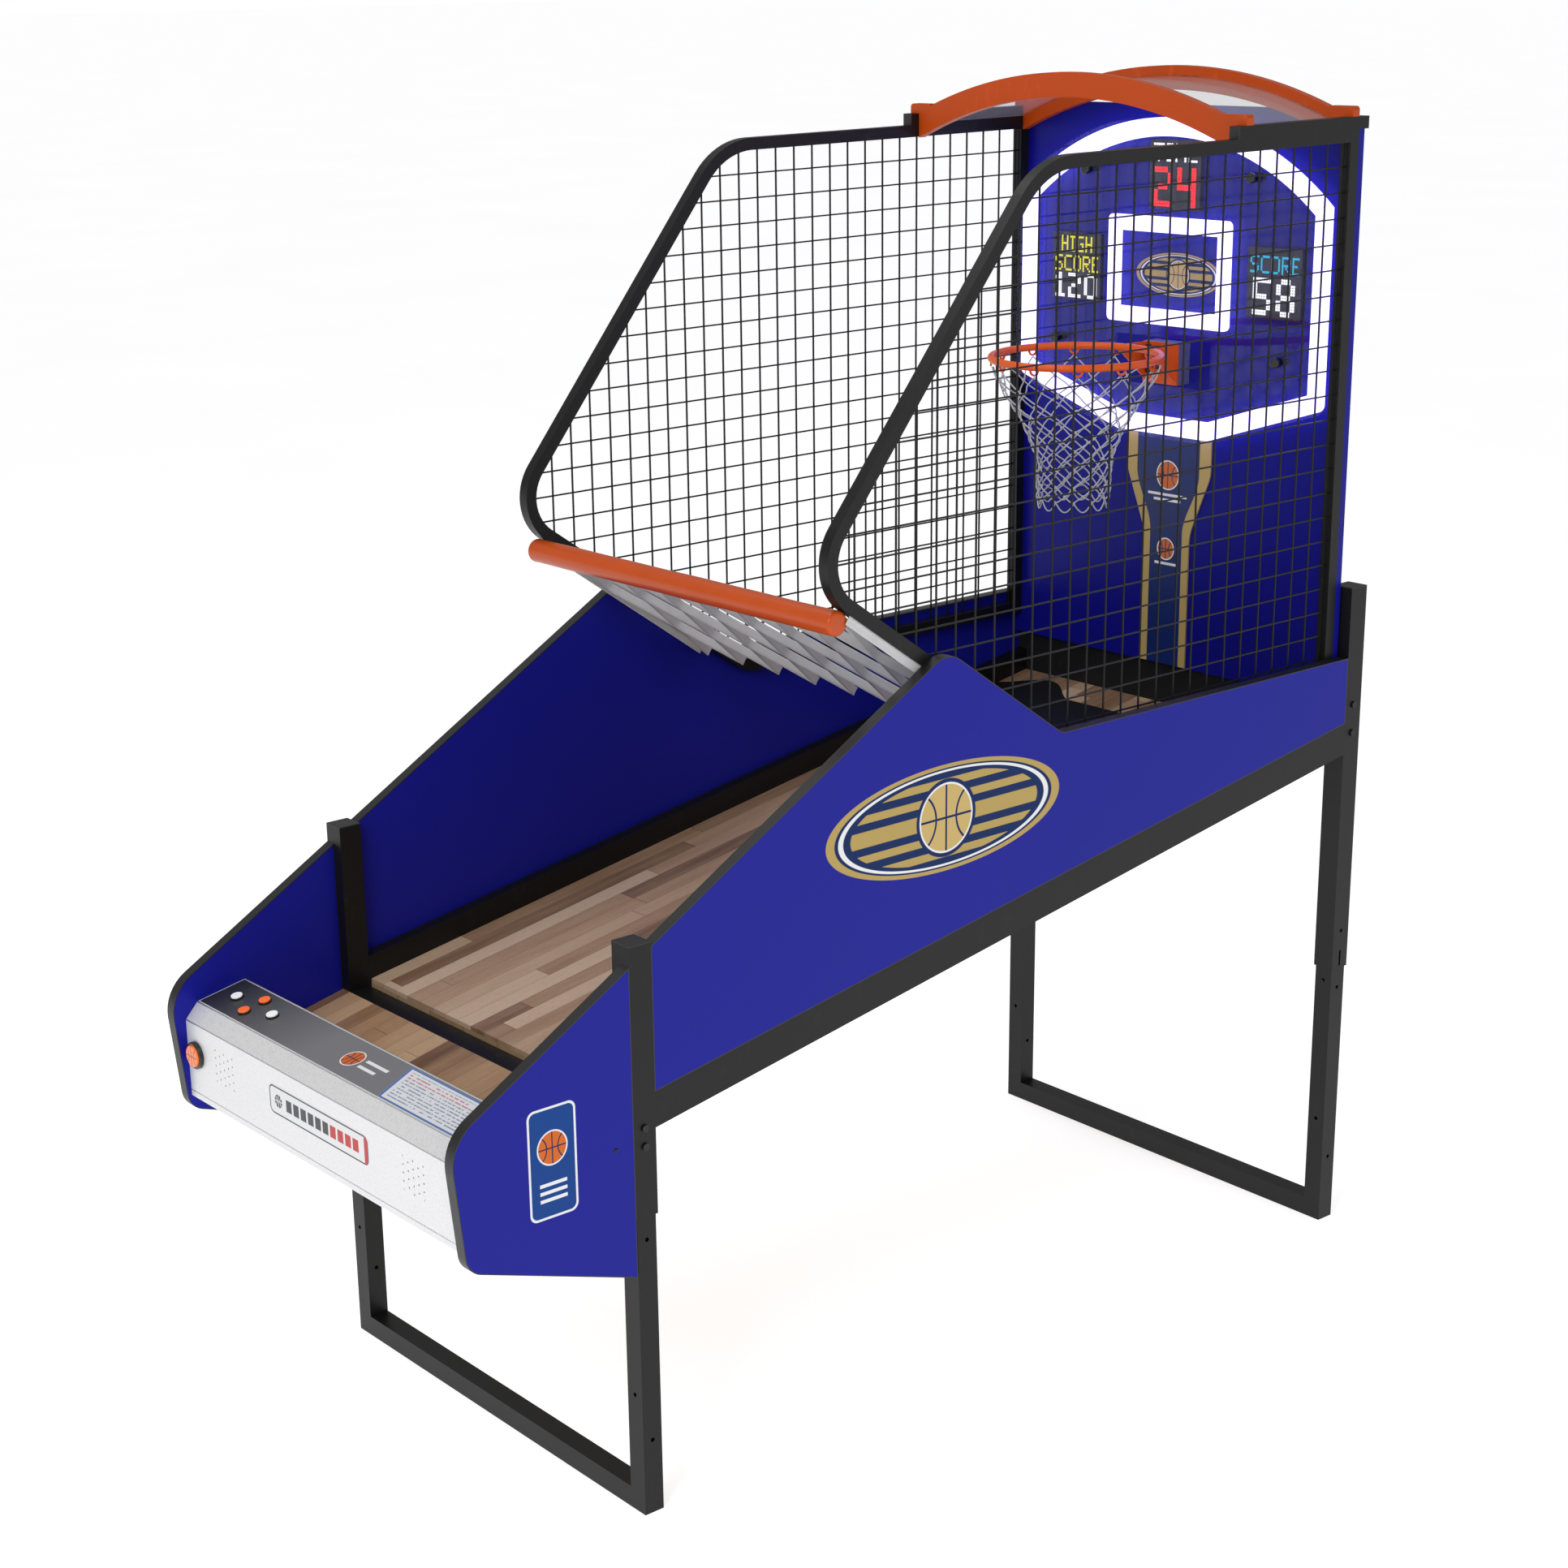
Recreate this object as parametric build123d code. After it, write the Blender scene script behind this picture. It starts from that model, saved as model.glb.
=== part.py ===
from build123d import *
import os
from math import atan2, cos, degrees, radians, sin, sqrt, tan

# Basketball hoop machine: a steel frame on two telescopic leg frames, a sloping ball ramp
# between panelled sides, a control console in front, and a mesh cage with a lit backboard.
# Axes: +X to the player's right, +Y from the player towards the backboard, +Z up.
# Origin: the centre of the front floor bar's underside. Millimetres.

# ---- frame ----
frame_width = 1022.0        # over the posts' outer faces
post_spacing = 1991.4       # front post centre to rear post centre
post_size = 50.8
post_wall = 2.0
post_bottom = 623.0         # the posts' lower ends above the floor
front_post_top = 1160.0
rear_post_top = 1504.0
cap_height = 3.0
cap_plug = 12.0
# ---- telescopic leg frames ----
leg_size = 44.45
leg_wall = 2.0
front_leg_height = 970.0
rear_leg_height = 1410.0
leg_hole_radius = 4.5
leg_side_holes = (155.5, 575.0)     # heights, through the outer and inner walls
leg_front_holes = (250.5, 591.0)    # heights, through the front and rear walls
post_hole_height = 712.0            # rear posts, with the adjustment slot below it
post_slot = (628.0, 665.0)
post_slot_width = 6.0
lock_bolt_gap = 0.3         # between a lock bolt's tip and the leg
lock_bolt_radius = 4.0
bolt_head_height = 4.0
# ---- side rails, cross bars, ramp and tray ----
rail_height = 70.0          # square to the slope
rail_wall = 2.0
rail_front_height = 795.2   # the rail's underside at the front posts
rail_rise = 333.9           # from the front posts to the rear posts
front_bar_top = 801.0
deck_step = 21.7            # the ramp's top above the rail's underside, upright
deck_thickness = 9.0
deck_gap = 1.0              # round the ramp's edges
slat_width = 60.0
slat_depth = 20.0
slat_count = 5
tray_thickness = 12.0
tray_angle = 12.5
skirt_thickness = 5.6
skirt_top = 1330.0
# ---- side panels and front fins ----
panel_thickness = 25.0
trim_thickness = 2.0
edge_angle = 29.8           # the panels' front edge
edge_height = 1134.6        # that edge's height over the front posts' centre
peak_y = 760.0
fall_angle = 35.0           # behind the peak
ledge_height = 1348.0
peak_radius = 60.0
notch_radius = 40.0
fin_reach = 377.0           # from the front post's face, at the fin's lower corner
fin_lean = 5.8
fin_foot_height = 506.0     # at the post
fin_foot_angle = 19.0
fin_top_radius = 90.0
fin_foot_radius = 45.0
bracket_leg = 24.0
bracket_wall = 3.0
bracket_length = 60.0
# ---- console ----
sheet_wall = 1.5
console_front = 370.6       # from the front posts' front face
console_nose = 341.0
console_back = 228.8
console_top_back = 881.0
console_top_front = 860.0
console_chamfer = 828.0
console_foot = 664.0
console_lip = 26.0
overlay_thickness = 0.5
overlay_margin = 4.0
start_button_x = -450.0
start_button_z = 762.0
start_bezel_radius = 28.5
start_cap_radius = 22.5
start_travel = 4.0
menu_button_x = -353.0
menu_spread_x = 69.0
menu_spread_y = 24.5
menu_bezel_radius = 13.5
menu_cap_radius = 12.0
menu_travel = 3.0
button_gap = 0.6            # round a button's cap and stem
speaker_x = 340.0
speaker_pitch = 16.6
speaker_hole_radius = 2.0
speaker_radius = 44.0
speaker_depth = 38.0
# ---- cage ----
cage_tube = 25.4
cage_wall = 1.5
cage_front_angle = 50.65
cage_nose_y = 426.6         # where the front edge and the lower edge would meet
cage_nose_z = 1745.9
cage_top = 2468.0
cage_bottom = 1297.0
cage_nose_radius = 109.0
cage_brow_radius = 180.0
cage_heel_radius = 100.0
mesh_pitch = 52.2
mesh_wire = 3.0
mesh_first_column = 127.0   # from the cage's nose corner
mesh_first_row = 52.2       # from the cage's underside
cage_bolt_radius = 3.0
cage_bolt_length = 40.0
bolt_clearance = 0.3
# ---- roof ----
roof_rail_length = 400.0
arch_setback = 20.6         # from the roof rail's front end
arch_thickness = 20.0
arch_rise = 121.0           # the arch's crown above the cage
arch_drop = 104.36          # from the crown to over the cage's outer faces
arch_depth = 51.0
arch_tab_height = 21.0
arch_tab_length = 62.0
arch_tab_radius = 8.0
roof_sheet_drop = 20.0
roof_sheet_thickness = 3.0
side_gap = 1.2              # between the roof's pieces and the rails
# ---- backboard ----
back_panel_thickness = 18.0
back_panel_bottom = 1248.0
back_panel_crown = 37.0     # above the cage
board_half_width = 455.0
board_thickness = 8.0
board_stand = 29.4          # the board's back to the back panel
board_shoulder = 2313.0
board_crown = 2488.0
board_skirt = 1880.0
board_foot = 1778.0
board_foot_half = 134.0
board_corner_radius = 26.0
light_inset = 8.0           # the light strip inside the board's edge
light_width = 40.0
light_depth = 10.0
target_half_width = 177.0
target_bottom = 2030.0
target_top = 2266.0
target_band = 34.0
target_radius = 12.0
display_width = 148.0
display_height = 150.0
display_depth = 12.0
display_x = 290.0
display_z = 2141.0
time_display_z = 2357.0
standoff_upper = (240.0, 2362.0)
standoff_lower = (326.0, 1978.0)
standoff_radius = 8.0
standoff_cap_radius = 12.0
standoff_cap_height = 9.0
pillar_top = 1790.0
pillar_bottom = 1250.0
pillar_wide = 125.0
pillar_narrow = 68.0
pillar_shoulder = 1700.0
pillar_waist = 1560.0
pillar_thickness = 4.0
# ---- hoop ----
hoop_height = 1990.0
hoop_radius = 184.0         # to the rod's centre
hoop_rod = 16.0
hoop_reach = 270.0          # hoop centre to the bracket plate's front
hoop_plate_half = 50.0
hoop_plate_top = 1994.0
hoop_plate_bottom = 1902.0
hoop_plate_thickness = 5.0
hoop_arm_spread = 43.0
hoop_arm_wall = 4.0
hoop_bolt_x = 32.0
hoop_bolt_rise = 27.0
hoop_bolt_radius = 4.0
window_half_width = 142.0   # the opening in the board behind the hoop
window_margin = 5.0
hook_count = 12
hook_rod = 4.0
hook_radius = 11.0
net_length = 312.0
net_waist = 200.0           # below the hoop
net_waist_radius = 86.0
net_foot_radius = 92.0
net_wall = 4.0
# ---- deflector ----
pad_radius = 25.0
pad_from_nose = 118.0       # along the cage's underside, from its nose corner
pad_under = 0.5             # the pad's top below the cage's tubes
bar_radius = 12.7
bar_wall = 2.0
pad_gap = 0.3
pad_overlap = 18.0          # the pad's ends past the cage tubes' inner faces
pad_end_cover = 4.0         # foam over the bar's ends
stud_radius = 3.0
stud_inset = 7.0            # the studs' axes past the cage tubes' inner faces
sheet_net_depth = 20.0
sheet_net_back = 960.0

# ---- places that several pieces share ----
half_width = frame_width / 2
post_x = half_width - post_size / 2
inner_x = half_width - post_size            # the posts' and rails' inner faces
panel_x = half_width - panel_thickness      # the panels' inner faces
front_face = -post_size / 2                 # the front posts' front faces
rail_start = post_size / 2
rail_end = post_spacing - post_size / 2
rail_slope = rail_rise / (rail_end - rail_start)
rail_angle = degrees(atan2(rail_rise, rail_end - rail_start))
rail_depth = rail_height / cos(radians(rail_angle))
cage_outer_x = panel_x
cage_inner_x = panel_x - cage_tube
cage_back = rail_end - skirt_thickness - back_panel_thickness - 0.4
panel_front = cage_back                     # the back panel's front face
board_back = panel_front - board_stand
board_front = board_back - board_thickness
hoop_y = board_front - hoop_plate_thickness - hoop_reach
console_y = front_face - console_front
console_back_y = front_face - console_back
console_nose_y = front_face - console_nose
top_angle = degrees(atan2(console_top_back - console_top_front, console_back_y - console_nose_y))
edge_slope = tan(radians(edge_angle))
fall_slope = tan(radians(fall_angle))
cage_front_slope = tan(radians(cage_front_angle))

parts = {}


def box(x0, x1, y0, y1, z0, z1):
    """A box between two corners."""
    return Pos((x0 + x1) / 2, (y0 + y1) / 2, (z0 + z1) / 2) * Box(x1 - x0, y1 - y0, z1 - z0)


def side_slab(outline, x0, x1):
    """A closed (y, z) outline, given as a face in the XY plane, as a slab from x0 to x1."""
    plane = Plane(origin=(x0, 0, 0), x_dir=(0, 1, 0), z_dir=(1, 0, 0))
    return extrude(plane * outline, amount=x1 - x0)


def front_slab(outline, y0, y1):
    """A closed (x, z) outline as a slab from y0 back to y1."""
    plane = Plane(origin=(0, y1, 0), x_dir=(1, 0, 0), z_dir=(0, -1, 0))
    return extrude(plane * outline, amount=y1 - y0)


def rounded(points, radii):
    """A polygon whose corners are rounded by the radii; a radius of 0 leaves a corner sharp."""
    face = make_face(Polyline(*points, close=True))
    for point, radius in zip(points, radii):
        if radius:
            corner = min(face.vertices(), key=lambda v: (v.X - point[0]) ** 2 + (v.Y - point[1]) ** 2)
            face = fillet(corner, radius)
    return face


def shrink(outline, amount):
    """The outline moved inwards."""
    return offset(outline, -amount, kind=Kind.INTERSECTION)


def strip(points, wall):
    """A bent sheet's section: the line through the points and its copy, wall to the right."""
    def normal(a, b):
        length = sqrt((b[0] - a[0]) ** 2 + (b[1] - a[1]) ** 2)
        return (b[1] - a[1]) / length, -(b[0] - a[0]) / length
    normals = [normal(a, b) for a, b in zip(points, points[1:])]
    copy = []
    for i, point in enumerate(points):
        before, after = normals[max(i - 1, 0)], normals[min(i, len(normals) - 1)]
        share = wall / (1 + before[0] * after[0] + before[1] * after[1])
        copy.append((point[0] + share * (before[0] + after[0]), point[1] + share * (before[1] + after[1])))
    return make_face(Polyline(*points, *reversed(copy), close=True))


def cylinder_along(axis, centre, radius, length):
    """A cylinder from the centre of its first end along an axis."""
    return Plane(origin=centre, z_dir=axis) * Cylinder(radius, length, align=(Align.CENTER, Align.CENTER, Align.MIN))


def mirrored(solid):
    """The same piece on the player's left."""
    return mirror(solid, Plane.YZ)


def both(name, solid):
    """A right-hand piece and its mirror image, each in its own node."""
    parts[name + "_right"] = [solid]
    parts[name + "_left"] = [mirrored(solid)]


def rail_bottom(y):
    return rail_front_height + rail_slope * (y - rail_start)


def deck_top(y):
    return rail_bottom(y) + deck_step


def panel_edge(y):
    return edge_height + edge_slope * y


# ---- frame -------------------------------------------------------------------------------
def frame():
    lock_z = {0.0: (764.0, 801.0), post_spacing: (1175.0, 1239.0)}
    caps, bolts = [], []
    for name, y, top in (("front_post", 0.0, front_post_top), ("rear_post", post_spacing, rear_post_top)):
        bore = post_size - 2 * post_wall
        post = Pos(post_x, y) * extrude(Rectangle(post_size, post_size) - Rectangle(bore, bore),
                                        top - cap_height - post_bottom)
        post = Pos(0, 0, post_bottom) * post
        tip = leg_size / 2 + lock_bolt_gap
        for z in lock_z[y]:
            start = post_x + tip
            post -= cylinder_along((1, 0, 0), (start, y, z), lock_bolt_radius + bolt_clearance, post_size)
            bolt = cylinder_along((1, 0, 0), (start, y, z), lock_bolt_radius, half_width - start)
            bolt += cylinder_along((1, 0, 0), (half_width, y, z), 1.9 * lock_bolt_radius, bolt_head_height)
            bolts += [bolt, mirrored(bolt)]
        if y > 0:
            low, high = post_slot
            start = (half_width - post_wall - 1, y, post_hole_height)
            post -= cylinder_along((1, 0, 0), start, leg_hole_radius, post_wall + 2)
            post -= box(half_width - post_wall - 1, half_width + 1, y - post_slot_width / 2,
                        y + post_slot_width / 2, low, high)
        both(name, post)
        cap = Pos(post_x, y, top - cap_height) * extrude(Rectangle(post_size, post_size), cap_height)
        cap = fillet(cap.edges().group_by(Axis.Z)[-1], 1.0)
        plug = bore - 2 * button_gap
        cap += Pos(post_x, y, top - cap_height - cap_plug) * extrude(Rectangle(plug, plug), cap_plug)
        caps += [cap, mirrored(cap)]
    parts["leg_lock_bolts"] = bolts

    section = [(rail_start, rail_bottom(rail_start)), (rail_end, rail_bottom(rail_end)),
               (rail_end, rail_bottom(rail_end) + rail_depth), (rail_start, rail_bottom(rail_start) + rail_depth)]
    upright_wall = rail_wall / cos(radians(rail_angle))
    bore = [(y, z + (upright_wall if i < 2 else -upright_wall)) for i, (y, z) in enumerate(section)]
    rail = side_slab(make_face(Polyline(*section, close=True)), inner_x, half_width)
    rail -= side_slab(make_face(Polyline(*bore, close=True)), inner_x + rail_wall, half_width - rail_wall)
    both("side_rail", rail)

    def cross_bar(y, top):
        bar = box(-inner_x, inner_x, y - post_size / 2, y + post_size / 2, top - post_size, top)
        return bar - box(-inner_x, inner_x, y - post_size / 2 + post_wall, y + post_size / 2 - post_wall,
                         top - post_size + post_wall, top - post_wall)

    parts["front_cross_bar"] = [cross_bar(0.0, front_bar_top)]
    parts["rear_cross_bar"] = [cross_bar(post_spacing, rail_bottom(rail_end) + rail_depth)]
    parts["tube_caps"] = caps


def leg_frames():
    for name, y, height in (("front_leg_frame", 0.0, front_leg_height), ("rear_leg_frame", post_spacing, rear_leg_height)):
        reach = post_x + leg_size / 2

        def hoop(inset, depth, top):
            outer = Pos(0, top / 2) * Rectangle(2 * (reach - inset), top)
            inner = Pos(0, leg_size + top / 2) * Rectangle(2 * (reach - leg_size + inset), top)
            face = Pos(0, inset) * outer - Pos(0, -inset) * inner
            return front_slab(face, y - depth / 2, y + depth / 2)

        frame_tube = hoop(0.0, leg_size, height) - hoop(leg_wall, leg_size - 2 * leg_wall, height)
        for z in leg_side_holes:
            frame_tube -= cylinder_along((1, 0, 0), (-reach - 1, y, z), leg_hole_radius, 2 * reach + 2)
        for z in leg_front_holes:
            for x in (-post_x, post_x):
                frame_tube -= cylinder_along((0, 1, 0), (x, y - leg_size, z), leg_hole_radius, 2 * leg_size)
        parts[name] = [frame_tube]


# ---- ramp, tray and rear skirt -----------------------------------------------------------
def ramp():
    deck_start, deck_end = rail_start + 3.8, rail_end - skirt_thickness - 0.4
    fall = deck_thickness / cos(radians(rail_angle))
    section = [(deck_start, deck_top(deck_start)), (deck_end, deck_top(deck_end)),
               (deck_end, deck_top(deck_end) - fall), (deck_start, deck_top(deck_start) - fall)]
    deck_x = inner_x - deck_gap
    parts["ramp_deck"] = [side_slab(make_face(Polyline(*section, close=True)), -deck_x, deck_x)]
    slats = []
    for i in range(slat_count):
        y = deck_start + i * (deck_end - deck_start - slat_width) / (slat_count - 1)
        top = deck_top(y) - fall
        run = slat_width * cos(radians(rail_angle))
        face = make_face(Polyline((y, top), (y + run, top + rail_slope * run),
                                  (y + run, top + rail_slope * run - slat_depth), (y, top - slat_depth), close=True))
        slats.append(side_slab(face, -inner_x + 0.2, inner_x - 0.2))
    parts["deck_slats"] = slats

    fall = tan(radians(tray_angle))
    back, front = front_face - 0.2, console_back_y + 0.4
    drop = tray_thickness / cos(radians(tray_angle))
    section = [(back, front_bar_top), (front, front_bar_top - fall * (back - front)),
               (front, front_bar_top - fall * (back - front) - drop), (back, front_bar_top - drop)]
    parts["tray_floor"] = [side_slab(make_face(Polyline(*section, close=True)), -panel_x + 0.4, panel_x - 0.4)]
    skirt_back, shoulder = rail_end - 0.2, rail_bottom(rail_end) + rail_depth + 0.5
    skirt = box(-panel_x + 1, panel_x - 1, skirt_back - skirt_thickness, skirt_back, shoulder, skirt_top)
    skirt += box(-inner_x + deck_gap, inner_x - deck_gap, skirt_back - skirt_thickness, skirt_back,
                 rail_bottom(rail_end), shoulder)
    parts["rear_skirt"] = [skirt]


# ---- side panels, fins and their edge trim -----------------------------------------------
def sides():
    notch_y = peak_y + (panel_edge(peak_y) - ledge_height) / fall_slope
    rail_top_front = rail_bottom(rail_start) + rail_depth
    rail_top_rear = rail_bottom(rail_end) + rail_depth
    points = [(rail_start, rail_top_front), (rail_end, rail_top_rear), (rail_end, ledge_height),
              (notch_y, ledge_height), (peak_y, panel_edge(peak_y)), (rail_start, panel_edge(rail_start))]
    outline = rounded(points, [0, 0, 0, notch_radius, peak_radius, 0])
    panel = side_slab(shrink(outline, trim_thickness), panel_x, half_width)
    panel_trim = side_slab(outline, panel_x, half_width) - panel
    for y, z in cage_bolt_places():
        panel -= cylinder_along((1, 0, 0), (panel_x - 1, y, z), cage_bolt_radius + bolt_clearance,
                                cage_bolt_length - cage_tube + 2)
    both("side_panel", panel)

    lean, foot = tan(radians(fin_lean)), tan(radians(fin_foot_angle))
    foot_y = front_face - fin_reach
    foot_z = fin_foot_height + foot * fin_reach
    top_y = (foot_y + lean * (foot_z - edge_height)) / (1 + lean * edge_slope)
    points = [(front_face, fin_foot_height), (front_face, panel_edge(front_face)),
              (top_y, panel_edge(top_y)), (foot_y, foot_z)]
    outline = rounded(points, [0, 0, fin_top_radius, fin_foot_radius])
    fin = side_slab(shrink(outline, trim_thickness), panel_x, half_width)
    fin_trim = side_slab(outline, panel_x, half_width) - fin
    both("front_fin", fin)
    parts["edge_trims"] = [panel_trim, mirrored(panel_trim), fin_trim, mirrored(fin_trim)]

    brackets = []
    for z in (fin_foot_height + 60, fin_foot_height + 190):
        angle = box(panel_x - bracket_wall, panel_x, front_face - bracket_leg, front_face, z, z + bracket_length)
        angle += box(panel_x - bracket_leg, panel_x, front_face - bracket_wall, front_face, z, z + bracket_length)
        brackets += [angle, mirrored(angle)]
    parts["corner_brackets"] = brackets


# ---- console -----------------------------------------------------------------------------
def top_frame(x, along):
    """A plane on the console's top: its centre is `along` from the nose edge, +Z points out."""
    angle = radians(top_angle)
    origin = (x, console_nose_y + along * cos(angle), console_top_front + along * sin(angle))
    return Plane(origin=origin, x_dir=(1, 0, 0), z_dir=(0, -sin(angle), cos(angle)))


def push_button(plane, bezel_radius, cap_radius, stem_radius, travel, rise, body_depth):
    """A button's fixed body and its moving cap, with the panel's face in the plane."""
    flange = Cylinder(bezel_radius, rise, align=(Align.CENTER, Align.CENTER, Align.MIN))
    flange = fillet(flange.edges().group_by(Axis.Z)[-1], rise / 3)
    well = cap_radius + button_gap
    shank = Pos(0, 0, -body_depth) * Cylinder(0.62 * bezel_radius, body_depth,
                                              align=(Align.CENTER, Align.CENTER, Align.MIN))
    body = flange + shank
    body -= Pos(0, 0, 1.0) * Cylinder(well, rise, align=(Align.CENTER, Align.CENTER, Align.MIN))
    body -= Pos(0, 0, -body_depth + 3) * Cylinder(stem_radius + button_gap, body_depth + 9,
                                                  align=(Align.CENTER, Align.CENTER, Align.MIN))
    face_height = 1.4 + travel
    cap = Pos(0, 0, face_height) * Cylinder(cap_radius, rise - 1, align=(Align.CENTER, Align.CENTER, Align.MIN))
    cap = fillet(cap.edges().group_by(Axis.Z)[-1], rise / 4)
    stem_depth = body_depth - 3.4 - travel
    cap += Pos(0, 0, -stem_depth) * Cylinder(stem_radius, stem_depth + face_height,
                                             align=(Align.CENTER, Align.CENTER, Align.MIN))
    return plane * body, plane * cap


def console():
    profile = [(console_y + console_lip, console_foot), (console_y, console_foot), (console_y, console_chamfer),
               (console_nose_y, console_top_front), (console_back_y, console_top_back), (console_back_y, console_foot)]
    housing = side_slab(strip(profile, sheet_wall), -panel_x + 0.3, panel_x - 0.3)
    overlay_length = (console_back_y - console_nose_y) / cos(radians(top_angle)) - 2 * overlay_margin
    middle = overlay_length / 2 + overlay_margin
    face = Rectangle(2 * (panel_x - overlay_margin), overlay_length)
    overlay = extrude(top_frame(0, middle) * face, overlay_thickness)

    bodies = []
    places = [(menu_button_x - menu_spread_x, 0), (menu_button_x, menu_spread_y),
              (menu_button_x, -menu_spread_y), (menu_button_x + menu_spread_x, 0)]
    names = ("menu_button_player_back", "menu_button_game_back", "menu_button_player_front", "menu_button_game_front")
    for name, (x, shift) in zip(names, places):
        plane = top_frame(x, middle + shift)
        bore = plane * Cylinder(0.62 * menu_bezel_radius + bolt_clearance, 20)
        housing -= bore
        overlay -= bore
        seat = Plane(origin=plane.origin + overlay_thickness * plane.z_dir, x_dir=plane.x_dir, z_dir=plane.z_dir)
        body, cap = push_button(seat, menu_bezel_radius, menu_cap_radius, 4.0, menu_travel, 4.0, 26.0)
        bodies.append(body)
        parts[name] = [cap]

    plane = Plane(origin=(start_button_x, console_y, start_button_z), x_dir=(1, 0, 0), z_dir=(0, -1, 0))
    housing -= plane * Cylinder(0.62 * start_bezel_radius + bolt_clearance, 20)
    body, cap = push_button(plane, start_bezel_radius, start_cap_radius, 7.0, start_travel, 9.0, 44.0)
    parts["button_bodies"] = bodies + [body]
    parts["start_button"] = [cap]

    speakers = []
    for x in (-speaker_x, speaker_x):
        for column in range(-2, 3):
            holes = 5 - column % 2
            for row in range(holes):
                z = start_button_z + (row - (holes - 1) / 2) * speaker_pitch
                housing -= cylinder_along((0, 1, 0), (x + column * speaker_pitch, console_y - 1, z),
                                          speaker_hole_radius, sheet_wall + 2)
        face = console_y + sheet_wall
        basket = cylinder_along((0, 1, 0), (x, face, start_button_z), speaker_radius, 4.0)
        basket += Plane(origin=(x, face + 4.0, start_button_z), z_dir=(0, 1, 0)) * \
            Cone(0.86 * speaker_radius, 0.5 * speaker_radius, 0.5 * speaker_depth,
                 align=(Align.CENTER, Align.CENTER, Align.MIN))
        basket += cylinder_along((0, 1, 0), (x, face + 4.0 + 0.5 * speaker_depth, start_button_z),
                                 0.6 * speaker_radius, 0.4 * speaker_depth)
        speakers.append(basket)
    parts["console_housing"] = [housing]
    parts["console_overlay"] = [overlay]
    parts["speakers"] = speakers

    wall = console_back_y - sheet_wall
    board = box(-90, 90, wall - 9.6, wall - 8, 700, 820)
    for x in (-80, 80):
        for z in (710, 810):
            board += cylinder_along((0, 1, 0), (x, wall - 8, z), 3.0, 8.0)
    for x, z, w, h, d in ((-45, 770, 50, 40, 6), (30, 780, 36, 36, 5), (30, 730, 60, 20, 12), (-55, 720, 30, 16, 14)):
        board += box(x - w / 2, x + w / 2, wall - 9.6 - d, wall - 9.6, z - h / 2, z + h / 2)
    parts["control_board"] = [board]
    parts["power_supply"] = [box(-220, -70, front_face - 60, front_face - 0.2,
                                 front_bar_top - post_size - 20, front_bar_top - post_size + 12)]
    x, y, z = panel_x - 0.3, console_y + sheet_wall, console_foot + sheet_wall
    angle = box(x - bracket_wall, x + 0.3, y, y + bracket_leg, z, z + bracket_length)
    angle += box(x - bracket_leg, x, y, y + bracket_wall, z, z + bracket_length)
    parts["corner_brackets"] += [angle, mirrored(angle)]


# ---- cage --------------------------------------------------------------------------------
def cage_outline():
    """The cage frame's outer outline in (y, z)."""
    fall = fall_slope
    brow_y = cage_nose_y + (cage_top - cage_nose_z) / cage_front_slope
    heel_y = cage_nose_y + (cage_nose_z - cage_bottom) / fall
    points = [(cage_nose_y, cage_nose_z), (brow_y, cage_top), (cage_back, cage_top),
              (cage_back, cage_bottom), (heel_y, cage_bottom)]
    return rounded(points, [cage_nose_radius, cage_brow_radius, 0, 0, cage_heel_radius])


def cage_bolt_places():
    """Where the cage's tubes are bolted to the side panels, as (y, z) on the tubes' centre."""
    middle = cage_bottom + cage_tube / 2
    fall_y = cage_nose_y + 440.0
    fall_z = cage_nose_z - 440.0 * fall_slope + cage_tube / 2 / cos(radians(fall_angle))
    heel_y = cage_nose_y + (cage_nose_z - cage_bottom) / fall_slope
    return [(fall_y, fall_z), (heel_y + 110.0, middle), (cage_back - 110.0, middle)]


def cage():
    outer = cage_outline()
    inner = shrink(outer, cage_tube)
    tube = side_slab(outer - inner, cage_inner_x, cage_outer_x)
    hollow = shrink(outer, cage_wall) - shrink(outer, cage_tube - cage_wall)
    tube -= side_slab(hollow, cage_inner_x + cage_wall, cage_outer_x - cage_wall)
    bolts = []
    for y, z in cage_bolt_places():
        tube -= cylinder_along((1, 0, 0), (cage_inner_x - 1, y, z), cage_bolt_radius + bolt_clearance, cage_tube + 2)
        bolt = cylinder_along((1, 0, 0), (cage_inner_x, y, z), cage_bolt_radius, cage_bolt_length)
        bolt += cylinder_along((-1, 0, 0), (cage_inner_x, y, z), 2.2 * cage_bolt_radius, bolt_head_height)
        bolts += [bolt, mirrored(bolt)]
    parts["cage_bolts"] = bolts
    both("cage_frame", tube)

    box_low, box_high = inner.bounding_box().min, inner.bounding_box().max
    wires = []
    y = cage_nose_y + mesh_first_column
    while y < box_high.X - mesh_wire:
        wires.append(Pos(y, (box_low.Y + box_high.Y) / 2) * Rectangle(mesh_wire, box_high.Y - box_low.Y))
        y += mesh_pitch
    z = cage_bottom + mesh_first_row
    while z < box_high.Y - mesh_wire:
        wires.append(Pos((box_low.X + box_high.X) / 2, z) * Rectangle(box_high.X - box_low.X, mesh_wire))
        z += mesh_pitch
    grid = (Sketch() + wires) & inner
    middle = (cage_inner_x + cage_outer_x) / 2
    both("cage_mesh", side_slab(grid, middle - mesh_wire / 2, middle + mesh_wire / 2))


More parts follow.
